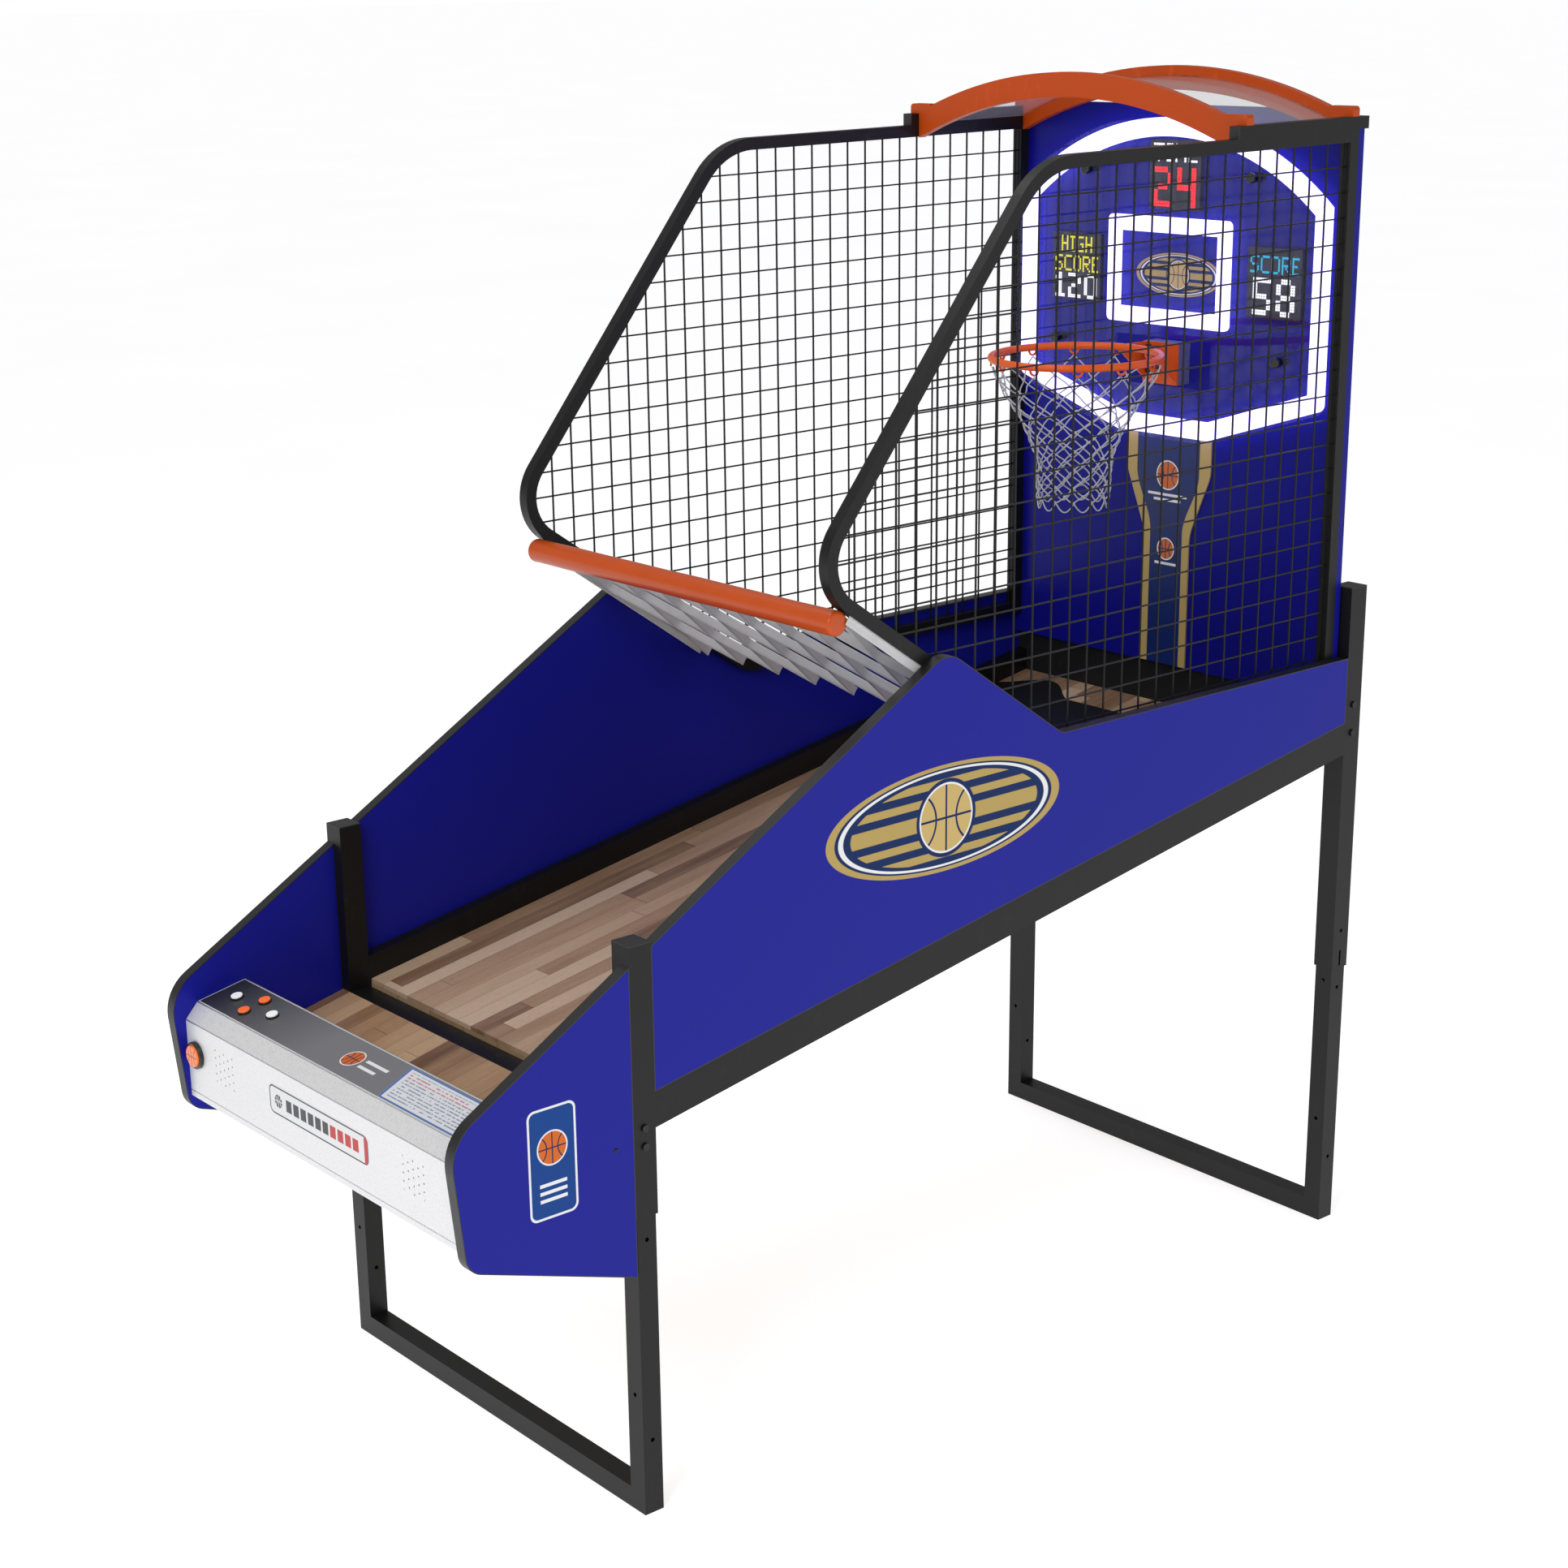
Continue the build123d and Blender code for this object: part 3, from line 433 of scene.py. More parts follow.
@dataclass(frozen=True)
class Woven:
    """Cord, webbing or cloth: a fine over-and-under weave with soiling."""

    name: str
    colour: Colour
    pitch: float = 0.0012
    soil: Colour = (0.3, 0.27, 0.25)
    rough: float = 0.85

    def material(self) -> bpy.types.Material:
        """The finish as a material."""
        net = Net(self.name)
        x, y, z = net.place()
        turn = math.tau / self.pitch
        weave = ((x + z * 0.6) * turn).sin() * ((y - z * 0.6) * turn).sin() * 0.5 + 0.5
        dirt = net.noise(22.0, 5.0).above(0.55, 0.35)
        base = net.mix(dirt * 0.28, net.tint(self.colour, weave, 0.16), self.soil)
        return net.surface(Base_Color=base, Roughness=self.rough + weave * 0.08, Sheen_Weight=0.2,
                           Normal=net.bump(weave, 0.0002, 0.5))


@dataclass(frozen=True)
class Vinyl:
    """Stretched vinyl over foam: a glossy skin with a pebbled grain and soft creases."""

    name: str
    colour: Colour

    def material(self) -> bpy.types.Material:
        """The finish as a material."""
        net = Net(self.name)
        grain, crease, cloud = net.cells(700.0), net.noise(34.0, 4.0, (0.25, 1.0, 1.0)), net.noise(9.0, 3.0)
        base = net.tint(self.colour, cloud * 0.6 + crease * 0.4, 0.16)
        return net.surface(Base_Color=base, Roughness=0.28 + crease * 0.16, Coat_Weight=0.1, Coat_Roughness=0.2,
                           Specular_IOR_Level=0.35, Normal=net.bump(grain * 0.35 + crease, 0.0004, 0.4))


@dataclass(frozen=True)
class SpeckledPaint:
    """Hammer-effect paint: light and dark flecks over a pale grey."""

    name: str
    colour: Colour

    def material(self) -> bpy.types.Material:
        """The finish as a material."""
        net = Net(self.name)
        fleck, cloud = net.noise(520.0, 3.0, rough=0.8), net.noise(18.0, 4.0)
        spot = net.noise(260.0, 2.0).above(0.6, 0.1)
        base = net.tint(self.colour, fleck, 0.28)
        base = net.mix(spot * 0.34, base, tuple(c * 0.6 for c in self.colour))
        return net.surface(Base_Color=base, Metallic=0.25, Roughness=0.4 + (cloud - 0.5) * 0.16 + fleck * 0.06,
                           Normal=net.bump(fleck, 0.00008, 0.4))


def ring_mask(net: Net, across: Sock, up: Sock, radius: float, width: float, soft: float = 0.0008) -> Sock:
    """1 on a circular line: where the distance from the centre is within half a width of the radius."""
    distance = (across * across + up * up).sqrt()
    return abs(distance - radius).below(width / 2, soft)


def ball_marks(net: Net, across: Sock, up: Sock, radius: float, line: float) -> Sock:
    """The seams of a ball seen square on: a cross and two bowed lines, inside its edge."""
    inside = (across * across + up * up).sqrt().below(radius, 0.0006)
    cross = abs(across).below(line / 2, 0.0006).most(abs(up).below(line / 2, 0.0006))
    bows = ring_mask(net, across - radius * 1.35, up, radius * 0.95, line)
    bows = bows.most(ring_mask(net, across + radius * 1.35, up, radius * 0.95, line))
    return cross.most(bows) * inside


def corner_reach(across: Sock, up: Sock, half: tuple[float, float], corner: float) -> Sock:
    """How far a point lies past a rounded rectangle's inner box: under the corner's radius inside the rectangle."""
    wide, tall = ((abs(c) - (h - corner)).most(0.0) for c, h in zip((across, up), half))
    return (wide * wide + tall * tall).sqrt()


def printed_ball(net: Net, base: Sock, across: Sock, up: Sock, radius: float, border: float, line: float,
                 fill: Colour, seams: Colour, where: Value = 1.0) -> Sock:
    """Prints a ball with a white border over a base colour.

    Args:
        net: the material's tree.
        base: the colour under the ball.
        across, up: the point's place from the ball's centre.
        radius, border, line: the ball's radius, its border's width and its seams' width, in metres.
        fill, seams: the ball's two colours.
        where: 1 on the faces that carry the print.

    Returns:
        The printed colour.
    """
    distance = (across * across + up * up).sqrt()
    base = net.mix(distance.below(radius + border, 0.001) * where, base, Emblem.white)
    base = net.mix(distance.below(radius, 0.001) * where, base, fill)
    return net.mix(ball_marks(net, across, up, radius, line) * where, base, seams)


class Emblem:
    """A plain ball on a navy oval with a gold rim, used wherever the panels carry a printed badge."""

    navy, gold, white, tan = linear(8, 40, 92), linear(186, 160, 94), linear(238, 238, 240), linear(206, 178, 112)

    def __init__(self, across: float, up: float, half_width: float, half_height: float) -> None:
        """Keeps the badge's centre and half sizes in metres."""
        self.across, self.up, self.half_width, self.half_height = across, up, half_width, half_height

    def paint(self, net: Net, base: Sock, across: Sock, up: Sock, where: Sock) -> Sock:
        """Paints the badge over a base colour.

        Args:
            net: the material's tree.
            base: the colour under the badge.
            across, up: the two coordinates on the panel's face.
            where: 1 on the faces that carry the badge.

        Returns:
            The painted colour.
        """
        u, v = across - self.across, up - self.up
        ratio = self.half_width / self.half_height
        reach = (u * u + (v * ratio) * (v * ratio)).sqrt() / self.half_width
        soft = 0.006
        oval, rim = reach.below(1.0, soft), reach.between(0.93, 1.0, soft)
        inner = reach.between(0.86, 0.9, soft)
        base = net.mix(oval * where, base, self.navy)
        base = net.mix(rim * where, base, self.gold)
        base = net.mix(inner * where, base, self.white)
        bars = (abs(v / self.half_height * 3.4).fract()).below(0.5, 0.05) * reach.below(0.8, soft)
        ball = self.half_height * 0.62
        distance = (u * u + v * v).sqrt()
        bars = bars * distance.above(ball * 1.18, 0.0012)
        base = net.mix(bars * where, base, self.gold)
        return printed_ball(net, base, u, v, ball, ball * 0.06, ball * 0.07, self.tan, self.navy, where)


def side_badge(net: Net, base: Sock) -> Sock:
    """The side panels' badge, on both outer faces."""
    x, y, z = net.place()
    return Emblem(0.757, 1.238, 0.312, 0.108).paint(net, base, y, z, abs(x).above(0.5105))


def fin_badge(net: Net, base: Sock) -> Sock:
    """The fins' badge: a white-edged navy card with a ball over three plain bars."""
    x, y, z = net.place()
    outer = abs(x).above(0.5105)
    u, v = y + 0.209, z - 0.796
    for half, corner, colour in (((0.0535, 0.108), 0.016, Emblem.white),
                                 ((0.0490, 0.1035), 0.0125, linear(14, 66, 140))):
        base = net.mix(corner_reach(u, v, half, corner).below(corner, 0.001) * outer, base, colour)
    base = printed_ball(net, base, u, v - 0.028, 0.031, 0.003, 0.0026, BALL_ORANGE, Emblem.navy, outer)
    bars = ((v + 0.038) / -0.015).fract().below(0.45, 0.06) * v.between(-0.080, -0.038) * abs(u).below(0.030, 0.001)
    return net.mix(bars * outer, base, Emblem.white)


def board_badge(net: Net, base: Sock) -> Sock:
    """The back panel's badge, seen through the middle of the target."""
    x, y, z = net.place()
    return Emblem(0.008, 2.139, 0.124, 0.048).paint(net, base, x, z, y.below(1.9425))


@dataclass(frozen=True)
class PillarPrint:
    """The pillar under the backboard: navy with gold side bands, and a ball over plain bars."""

    name: str
    wide: float = 0.125
    narrow: float = 0.068
    waist: float = 1.56
    shoulder: float = 1.70

    def material(self) -> bpy.types.Material:
        """The finish as a material."""
        net = Net(self.name)
        x, _, z = net.place()
        rise = z.above((self.waist + self.shoulder) / 2, self.shoulder - self.waist)
        smooth = rise * rise * (3.0 - 2.0 * rise)
        half = self.narrow + smooth * (self.wide - self.narrow)
        band = 0.020 + smooth * 0.012
        cloud = net.noise(12.0, 3.0)
        base = net.mix(abs(x).above(half - band, 0.001), net.tint(linear(4, 36, 104), cloud, 0.12),
                       net.tint(linear(190, 164, 98), cloud, 0.08))
        for up, radius in ((1.690, 0.034), (1.520, 0.026)):
            base = printed_ball(net, base, x, z - up, radius - 0.003, 0.003, 0.0026, BALL_ORANGE, Emblem.navy)
        for up, half_width in ((1.645, 0.058), (1.633, 0.040), (1.486, 0.032)):
            base = net.mix(z.between(up - 0.003, up + 0.003, 0.0008) * abs(x).below(half_width, 0.001), base,
                           Emblem.white)
        return net.surface(Base_Color=base, Roughness=0.35 + cloud * 0.08,
                           Normal=net.bump(net.noise(900.0, 2.0), 0.00003, 0.4))


@dataclass(frozen=True)
class OverlayPrint:
    """The console's film: black on the player's left fading to grey, a ball mark, and a plain white notice."""

    name: str

    def material(self) -> bpy.types.Material:
        """The finish as a material."""
        net = Net(self.name)
        x, y, _ = net.place()
        cloud = net.noise(240.0, 3.0)
        fade = x.above(-0.27, 0.36)
        base = net.mix(fade, linear(24, 24, 27), linear(116, 116, 120))
        base = net.mix(cloud * 0.12, base, linear(150, 150, 154))
        base = printed_ball(net, base, x - 0.012, y + 0.310, 0.0235, 0.0025, 0.0022, linear(206, 98, 36),
                            linear(24, 24, 27))
        for start, end, at in ((0.046, 0.118, -0.300), (0.046, 0.102, -0.320)):
            base = net.mix(x.between(start, end, 0.0006) * y.between(at - 0.004, at + 0.004, 0.0006), base,
                           Emblem.white)
        slant = x - (y + 0.31) * -0.35
        notice = slant.above(0.160, 0.001) * x.below(0.476, 0.001) * y.between(-0.362, -0.262, 0.001)
        base = net.mix(notice, base, linear(226, 228, 232))
        border = notice * (slant.below(0.166, 0.001).most(y.above(-0.266, 0.001)).most(y.below(-0.358, 0.001)))
        base = net.mix(border, base, linear(70, 110, 180))
        line = ((y + 0.262) / -0.0085).fract().below(0.38, 0.08)
        word_at = net.vector(x, ((y + 0.262) / 0.0085).floor(), 0.0)
        word = net.noise(150.0, 1.0, (1.0, 0.05, 1.0), word_at).above(0.46, 0.04)
        text = notice * line * word * slant.between(0.176, 0.47) * y.between(-0.352, -0.272)
        ink = net.mix(net.chance(((y + 0.262) / 0.0085).floor(), 2.0).above(0.62), linear(120, 134, 160),
                      linear(196, 92, 92))
        base = net.mix(text * 0.85, base, ink)
        return net.surface(Base_Color=base, Roughness=0.34 + cloud * 0.1, Normal=net.bump(cloud, 0.00004, 0.4))


@dataclass(frozen=True)
class BallFace:
    """The start button's cap: orange with a ball's seams on its face."""

    name: str
    x: float = -0.450
    z: float = 0.762
    radius: float = 0.0215

    def material(self) -> bpy.types.Material:
        """The finish as a material."""
        net = Net(self.name)
        x, _, z = net.place()
        cloud = net.noise(60.0, 3.0)
        base = net.tint(linear(236, 112, 44), cloud, 0.1)
        base = net.mix(ball_marks(net, x - self.x, z - self.z, self.radius, 0.0022), base, linear(60, 24, 12))
        return net.surface(Base_Color=base, Roughness=0.24 + cloud * 0.06, Coat_Weight=0.3, Emission_Color=base,
                           Emission_Strength=0.35)


@dataclass(frozen=True)
class FrontPlate:
    """The plate on the console's front: an outlined grey bar with plain blocks in place of words."""

    name: str

    def material(self) -> bpy.types.Material:
        """The finish as a material."""
        net = Net(self.name)
        x, _, z = net.place()
        u, v = x - PLATE_CENTRE[0], z - PLATE_CENTRE[1]
        fleck = net.noise(520.0, 3.0, rough=0.8)
        base = net.tint(linear(226, 226, 228), fleck, 0.14)
        edge = corner_reach(u, v, PLATE_HALF, PLATE_CORNER)
        outline = edge.between(PLATE_CORNER - 0.0035, PLATE_CORNER - 0.0005, 0.0006)
        base = net.mix(outline, base, linear(58, 60, 66))
        block = ((u + 0.118) / 0.0265).fract().between(0.10, 0.86, 0.04) * abs(v).below(0.0125, 0.0008)
        base = net.mix(block * u.between(-0.118, 0.041), base, linear(62, 64, 70))
        base = net.mix(block * u.between(0.041, 0.1475), base, linear(190, 52, 50))
        mark = u + 0.144
        base = net.mix((mark * mark + v * v).sqrt().below(0.0135, 0.0008), base, linear(62, 64, 70))
        base = net.mix(ball_marks(net, mark, v, 0.0135, 0.002), base, linear(226, 226, 228))
        base = net.mix(u.above(0.163, 0.0008) * edge.below(PLATE_CORNER - 0.002), base, linear(190, 52, 50))
        return net.surface(Base_Color=base, Metallic=0.15, Roughness=0.38 + fleck * 0.08,
                           Normal=net.bump(fleck, 0.00005, 0.3))


class Finish(Enum):
    """The machine's finishes by name."""

    FRAME = PowderCoat("frame_black", linear(20, 20, 20), 0.40)
    SKIRT = PowderCoat("skirt_black", linear(24, 24, 25), 0.6)
    WIRE = PowderCoat("mesh_black", linear(20, 20, 20), 0.46, pebble=500.0)
    ARCH = PowderCoat("arch_orange", linear(184, 68, 5), 0.4, pebble=700.0, wear=0.06)
    RIM = PowderCoat("rim_orange", linear(224, 92, 30), 0.34, pebble=700.0, wear=0.1)
    TRIM = Moulded("trim_black", linear(26, 26, 28), 0.42)
    CAP = Moulded("cap_black", linear(30, 30, 32), 0.5)
    KNOB = Moulded("knob_black", linear(16, 16, 18), 0.28, 0.4)
    BEZEL = Moulded("bezel_black", linear(20, 20, 21), 0.3, 0.2)
    ORANGE_LENS = Moulded("lens_orange", linear(236, 104, 34), 0.25, 0.3, glow=0.4)
    WHITE_LENS = Moulded("lens_white", linear(226, 228, 232), 0.25, 0.3, glow=0.35)
    BOARD_GREEN = Moulded("circuit_green", linear(22, 92, 52), 0.4)
    GLASS_BLACK = Moulded("display_black", linear(10, 10, 12), 0.14, 0.2, depth=0.00001)
    ZINC = PlatedSteel("zinc_plate", (0.56, 0.57, 0.58))
    BLACK_BOLT = PlatedSteel("blackened_steel", (0.045, 0.045, 0.047), 0.36)
    SATIN = PlatedSteel("satin_aluminium", (0.6, 0.6, 0.62), 0.4)
    SIDE = Laminate("side_laminate", linear(24, 28, 147), side_badge)
    FIN = Laminate("fin_laminate", linear(24, 28, 147), fin_badge)
    BACK = Laminate("back_laminate", linear(17, 18, 132), board_badge)
    RAMP = Stave("ramp_staves", paint=True)
    TRAY = Stave("tray_staves", tones=(linear(110, 76, 48), linear(150, 112, 78), linear(186, 146, 106),
                                       linear(210, 176, 138)))
    TIMBER = Stave("slat_timber", 0.12, 3.0, (linear(168, 138, 100), linear(176, 146, 108), linear(184, 154, 116),
                                              linear(190, 162, 124)))
    CONSOLE = SpeckledPaint("console_silver", linear(234, 234, 236))
    OVERLAY = OverlayPrint("console_film")
    PLATE = FrontPlate("front_plate")
    START = BallFace("start_lens")
    PILLAR = PillarPrint("pillar_print")
    ACRYLIC = Clear("board_acrylic", 0.045, 1.0, (0.42, 0.42, 0.8))
    ROOF = Clear("roof_sheet_clear", 0.26, 0.0, (0.5, 0.5, 0.52))
    LIGHT = Lamp("light_white", (0.50, 0.44, 1.0), 3.0, 0.02)
    DOT_WHITE = Lamp("dot_white", (0.95, 0.97, 1.0), 0.9)
    DOT_RED = Lamp("dot_red", (1.0, 0.02, 0.015), 1.1)
    DOT_YELLOW = Lamp("dot_yellow", (0.75, 0.68, 0.01), 0.9)
    DOT_CYAN = Lamp("dot_cyan", (0.01, 0.42, 0.66), 0.9)
    NET_CORD = Woven("net_cord", linear(180, 182, 190), 0.0016, (0.4, 0.38, 0.36))
    WEBBING = Woven("net_webbing", linear(206, 206, 208), 0.0014, (0.42, 0.38, 0.36))
    PAD = Vinyl("pad_vinyl", linear(192, 74, 8))

    def material(self) -> bpy.types.Material:
        """The finish's material, made the first time it is asked for."""
        return bpy.data.materials.get(f"{self.value.name}_finish") or self.value.material()


# ---- surfaces ----------------------------------------------------------------------------


def grid_faces(rows: int, columns: int, wrap: bool = False) -> np.ndarray:
    """The quads of a rows by columns grid, in order, joined round its columns if it wraps."""
    last = columns if wrap else columns - 1
    r, c = np.meshgrid(np.arange(rows - 1), np.arange(last), indexing="ij")
    after = (c + 1) % columns
    low, high = r * columns, (r + 1) * columns
    return np.stack([low + c, low + after, high + after, high + c], -1).reshape(-1, 4)


def repeated(faces: np.ndarray, copies: int, points: int) -> np.ndarray:
    """One shape's faces for many copies of it, each with that many points of its own."""
    return (faces[None] + (np.arange(copies) * points)[:, None, None]).reshape(-1, faces.shape[1])


def build(name: str, points: np.ndarray, faces: Sequence, finish: Finish, body: str = "frame",
          smooth: bool = True) -> bpy.types.Object:
    """Makes a piece from points and faces, gives it its finish, and puts it on its body."""
    mesh = bpy.data.meshes.new(name)
    mesh.from_pydata(np.asarray(points, float).reshape(-1, 3).tolist(), [], [list(f) for f in faces])
    mesh.validate()
    mesh.polygons.foreach_set("use_smooth", np.full(len(mesh.polygons), smooth))
    mesh.update()
    piece = bpy.data.objects.new(name, mesh)
    bpy.context.scene.collection.objects.link(piece)
    mesh.materials.append(finish.material())
    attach(piece, body)
    return piece


def tubes(paths: np.ndarray, radius: float, sides: int = 6) -> tuple[np.ndarray, np.ndarray]:
    """Round cords along many paths of one length.

    Args:
        paths: an array of cords by points by 3.
        radius: the cords' radius in metres.
        sides: the points round each cord.

    Returns:
        The points and quads. A ring at each path point is the point plus the radius times
        (cosine, sine) of the turn along two directions square to the path.
    """
    step = np.gradient(paths, axis=1)
    step /= np.linalg.norm(step, axis=2, keepdims=True)
    guide = np.where(np.abs(step[..., 2:3]) < 0.9, np.array([0.0, 0.0, 1.0]), np.array([1.0, 0.0, 0.0]))
    first = np.cross(step, guide)
    first /= np.linalg.norm(first, axis=2, keepdims=True)
    second = np.cross(step, first)
    turn = np.arange(sides) * math.tau / sides
    ring = np.cos(turn)[:, None] * first[:, :, None, :] + np.sin(turn)[:, None] * second[:, :, None, :]
    points = paths[:, :, None, :] + radius * ring
    count, length = paths.shape[:2]
    return points.reshape(-1, 3), repeated(grid_faces(length, sides, True), count, length * sides)


def revolved(profile: np.ndarray, centre: Point, axis: str, sides: int) -> tuple[np.ndarray, np.ndarray]:
    """A closed (along, radius) profile turned round an axis: each point goes to (along, radius cos, radius sin)."""
    turn = np.arange(sides) * math.tau / sides
    along = np.repeat(profile[:, 0][:, None], sides, 1)
    one, two = profile[:, 1][:, None] * np.cos(turn), profile[:, 1][:, None] * np.sin(turn)
    order = {"x": (along, one, two), "z": (one, two, along)}[axis]
    points = np.stack(order, -1) + np.array(centre)
    rows = len(profile)
    faces = grid_faces(rows, sides, True)
    closing = grid_faces(2, sides, True) % sides + np.array([rows - 1, rows - 1, 0, 0]) * sides
    return points.reshape(-1, 3), np.concatenate([faces, closing])


# ---- sub-assemblies ----------------------------------------------------------------------


@dataclass
class CarriedNodes:
    """The frame's own pieces whose shape is already right: each only gets its finish."""

    plan: tuple[tuple[Finish, tuple[str, ...]], ...] = (
        (Finish.FRAME, ("front_post_left", "front_post_right", "rear_post_left", "rear_post_right", "side_rail_left",
                        "side_rail_right", "front_cross_bar", "rear_cross_bar", "front_leg_frame", "rear_leg_frame",
                        "cage_frame_left", "cage_frame_right", "roof_rails", "deflector_tube")),
        (Finish.SKIRT, ("rear_skirt",)),
        (Finish.CAP, ("tube_caps", "ball_sensor")),
        (Finish.TRIM, ("edge_trims",)),
        (Finish.SIDE, ("side_panel_left", "side_panel_right")),
        (Finish.FIN, ("front_fin_left", "front_fin_right")),
        (Finish.BACK, ("back_panel",)),
        (Finish.RAMP, ("ramp_deck",)),
        (Finish.TRAY, ("tray_floor",)),
        (Finish.TIMBER, ("deck_slats",)),
        (Finish.CONSOLE, ("console_housing",)),
        (Finish.OVERLAY, ("console_overlay",)),
        (Finish.ZINC, ("corner_brackets", "power_supply")),
        (Finish.BLACK_BOLT, ("leg_lock_bolts", "cage_bolts")),
        (Finish.KNOB, ("backboard_standoffs", "hoop_bolts")),
        (Finish.SATIN, ("hoop_mount",)),
        (Finish.BEZEL, ("button_bodies", "speakers")),
        (Finish.START, ("start_button",)),
        (Finish.ORANGE_LENS, ("menu_button_game_back", "menu_button_player_front")),
        (Finish.WHITE_LENS, ("menu_button_player_back", "menu_button_game_front")),
        (Finish.BOARD_GREEN, ("control_board",)),
        (Finish.WIRE, ("cage_mesh_left", "cage_mesh_right")),
        (Finish.ARCH, ("front_arch", "rear_arch")),
        (Finish.ROOF, ("roof_sheet",)),
        (Finish.ACRYLIC, ("backboard",)),
        (Finish.PILLAR, ("pillar_board",)),
        (Finish.LIGHT, ("border_light", "target_light")),
        (Finish.GLASS_BLACK, ("high_score_display", "time_display", "score_display")),
        (Finish.RIM, ("hoop_rim", "hoop_bracket")),
    )

    def dress(self, nodes: dict[str, bpy.types.Object]) -> list[bpy.types.Object]:
        """Gives each node its finish and returns them."""
        for finish, names in self.plan:
            for name in names:
                mesh = nodes[name].data
                mesh.materials.clear()
                mesh.materials.append(finish.material())
        return [nodes[name] for _, names in self.plan for name in names]


@dataclass
class HoopNet:
    """A knotted cord net on twelve hooks: diamonds that narrow to a waist and end in scallops."""

    centre: tuple[float, float] = (0.0, 1.6296)
    hooks: int = 12
    cord_radius: float = 0.0016
    heights: tuple[float, ...] = (1.969, 1.925, 1.893, 1.866, 1.842, 1.819, 1.797, 1.776, 1.755, 1.735, 1.715, 1.696,
                                  1.681)
    profile: tuple[tuple[float, float], ...] = ((1.660, 0.077), (1.700, 0.079), (1.777, 0.084), (1.846, 0.112),
                                               (1.925, 0.160), (1.969, 0.1815))

    def _radius(self, z: np.ndarray) -> np.ndarray:
        """The net's radius at each height, read between the profile's points."""
        heights, radii = np.array(self.profile).T
        return np.interp(z, heights, radii)

    def _strands(self) -> np.ndarray:
        """Both families of cords: each goes half a hook's pitch round per row, one way or the other,
        and rides in and out by a cord's radius so that the two weave past each other."""
        rows = len(self.heights)
        fine = 4
        row = np.linspace(0, rows - 1, (rows - 1) * fine + 1)
        z = np.interp(row, np.arange(rows), self.heights)
        pitch = math.tau / self.hooks
        start = (np.arange(self.hooks) + 0.5) * pitch
        strands = []
        for way in (1, -1):
            angle = start[:, None] + way * 0.5 * pitch * row[None]
            wander = 0.06 * pitch * np.sin(row * 2.1 + start[:, None] * 5)
            slack = 1 + 0.012 * np.sin(start[:, None] * 3 + row * 0.9)
            lift = way * 0.8 * self.cord_radius * np.sin(math.pi * row + 0.5 * math.pi)[None]
            r = self._radius(z)[None] * slack + lift
            bulge = 1 + 0.02 * np.sin(math.pi * row) ** 2
            angle = angle + wander * (row > 0.5)
            strands.append(np.stack([self.centre[0] + r * bulge * np.cos(angle),
                                     self.centre[1] + r * bulge * np.sin(angle), np.broadcast_to(z, r.shape)], -1))
        return np.concatenate(strands)

    def _scallops(self) -> np.ndarray:
        """The bottom loops: from one end knot to the next, each hangs as a shallow bow."""
        low = self.heights[-1]
        pitch = math.tau / self.hooks
        odd = (len(self.heights) - 1) % 2
        share = np.linspace(0, 1, 11)
        angle = (np.arange(self.hooks) + 0.5 + 0.5 * odd)[:, None] * pitch + share[None] * pitch
        z = low - 0.020 * np.sin(math.pi * share)[None] * np.ones((self.hooks, 1))
        r = self._radius(z)
        return np.stack([self.centre[0] + r * np.cos(angle), self.centre[1] + r * np.sin(angle), z], -1)

    def _knots(self) -> tuple[np.ndarray, np.ndarray]:
        """A small faceted knot at each crossing: a six-sided double cone."""
        pitch = math.tau / self.hooks
        rows = np.arange(1, len(self.heights))
        angle = ((np.arange(self.hooks) + 0.5)[None] + 0.5 * rows[:, None]) * pitch
        z = np.array(self.heights)[rows][:, None] * np.ones_like(angle)
        r = self._radius(z)
        middle = np.stack([self.centre[0] + r * np.cos(angle), self.centre[1] + r * np.sin(angle), z], -1)
        middle = middle.reshape(-1, 3)
        turn = np.arange(6) * math.tau / 6
        size = 1.75 * self.cord_radius
        rings = [np.stack([k * size * np.cos(turn), k * size * np.sin(turn), np.full(6, h * size)], -1)
                 for k, h in ((0.55, -1.25), (1.0, -0.5), (1.0, 0.5), (0.55, 1.25))]
        knot = np.concatenate(rings)
        points = middle[:, None] + knot[None]
        return points.reshape(-1, 3), repeated(grid_faces(4, 6, True), len(middle), len(knot))

    def build(self) -> bpy.types.Object:
        """Makes the net as one piece, in place of its plain funnel."""
        parts = [tubes(self._strands(), self.cord_radius), tubes(self._scallops(), self.cord_radius), self._knots()]
        offsets = np.cumsum([0] + [len(p) for p, _ in parts])
        points = np.concatenate([p for p, _ in parts])
        faces = np.concatenate([f + o for (_, f), o in zip(parts, offsets)])
        net = build("hoop_cord_net", points, faces, Finish.NET_CORD)
        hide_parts("hoop_net")
        return net


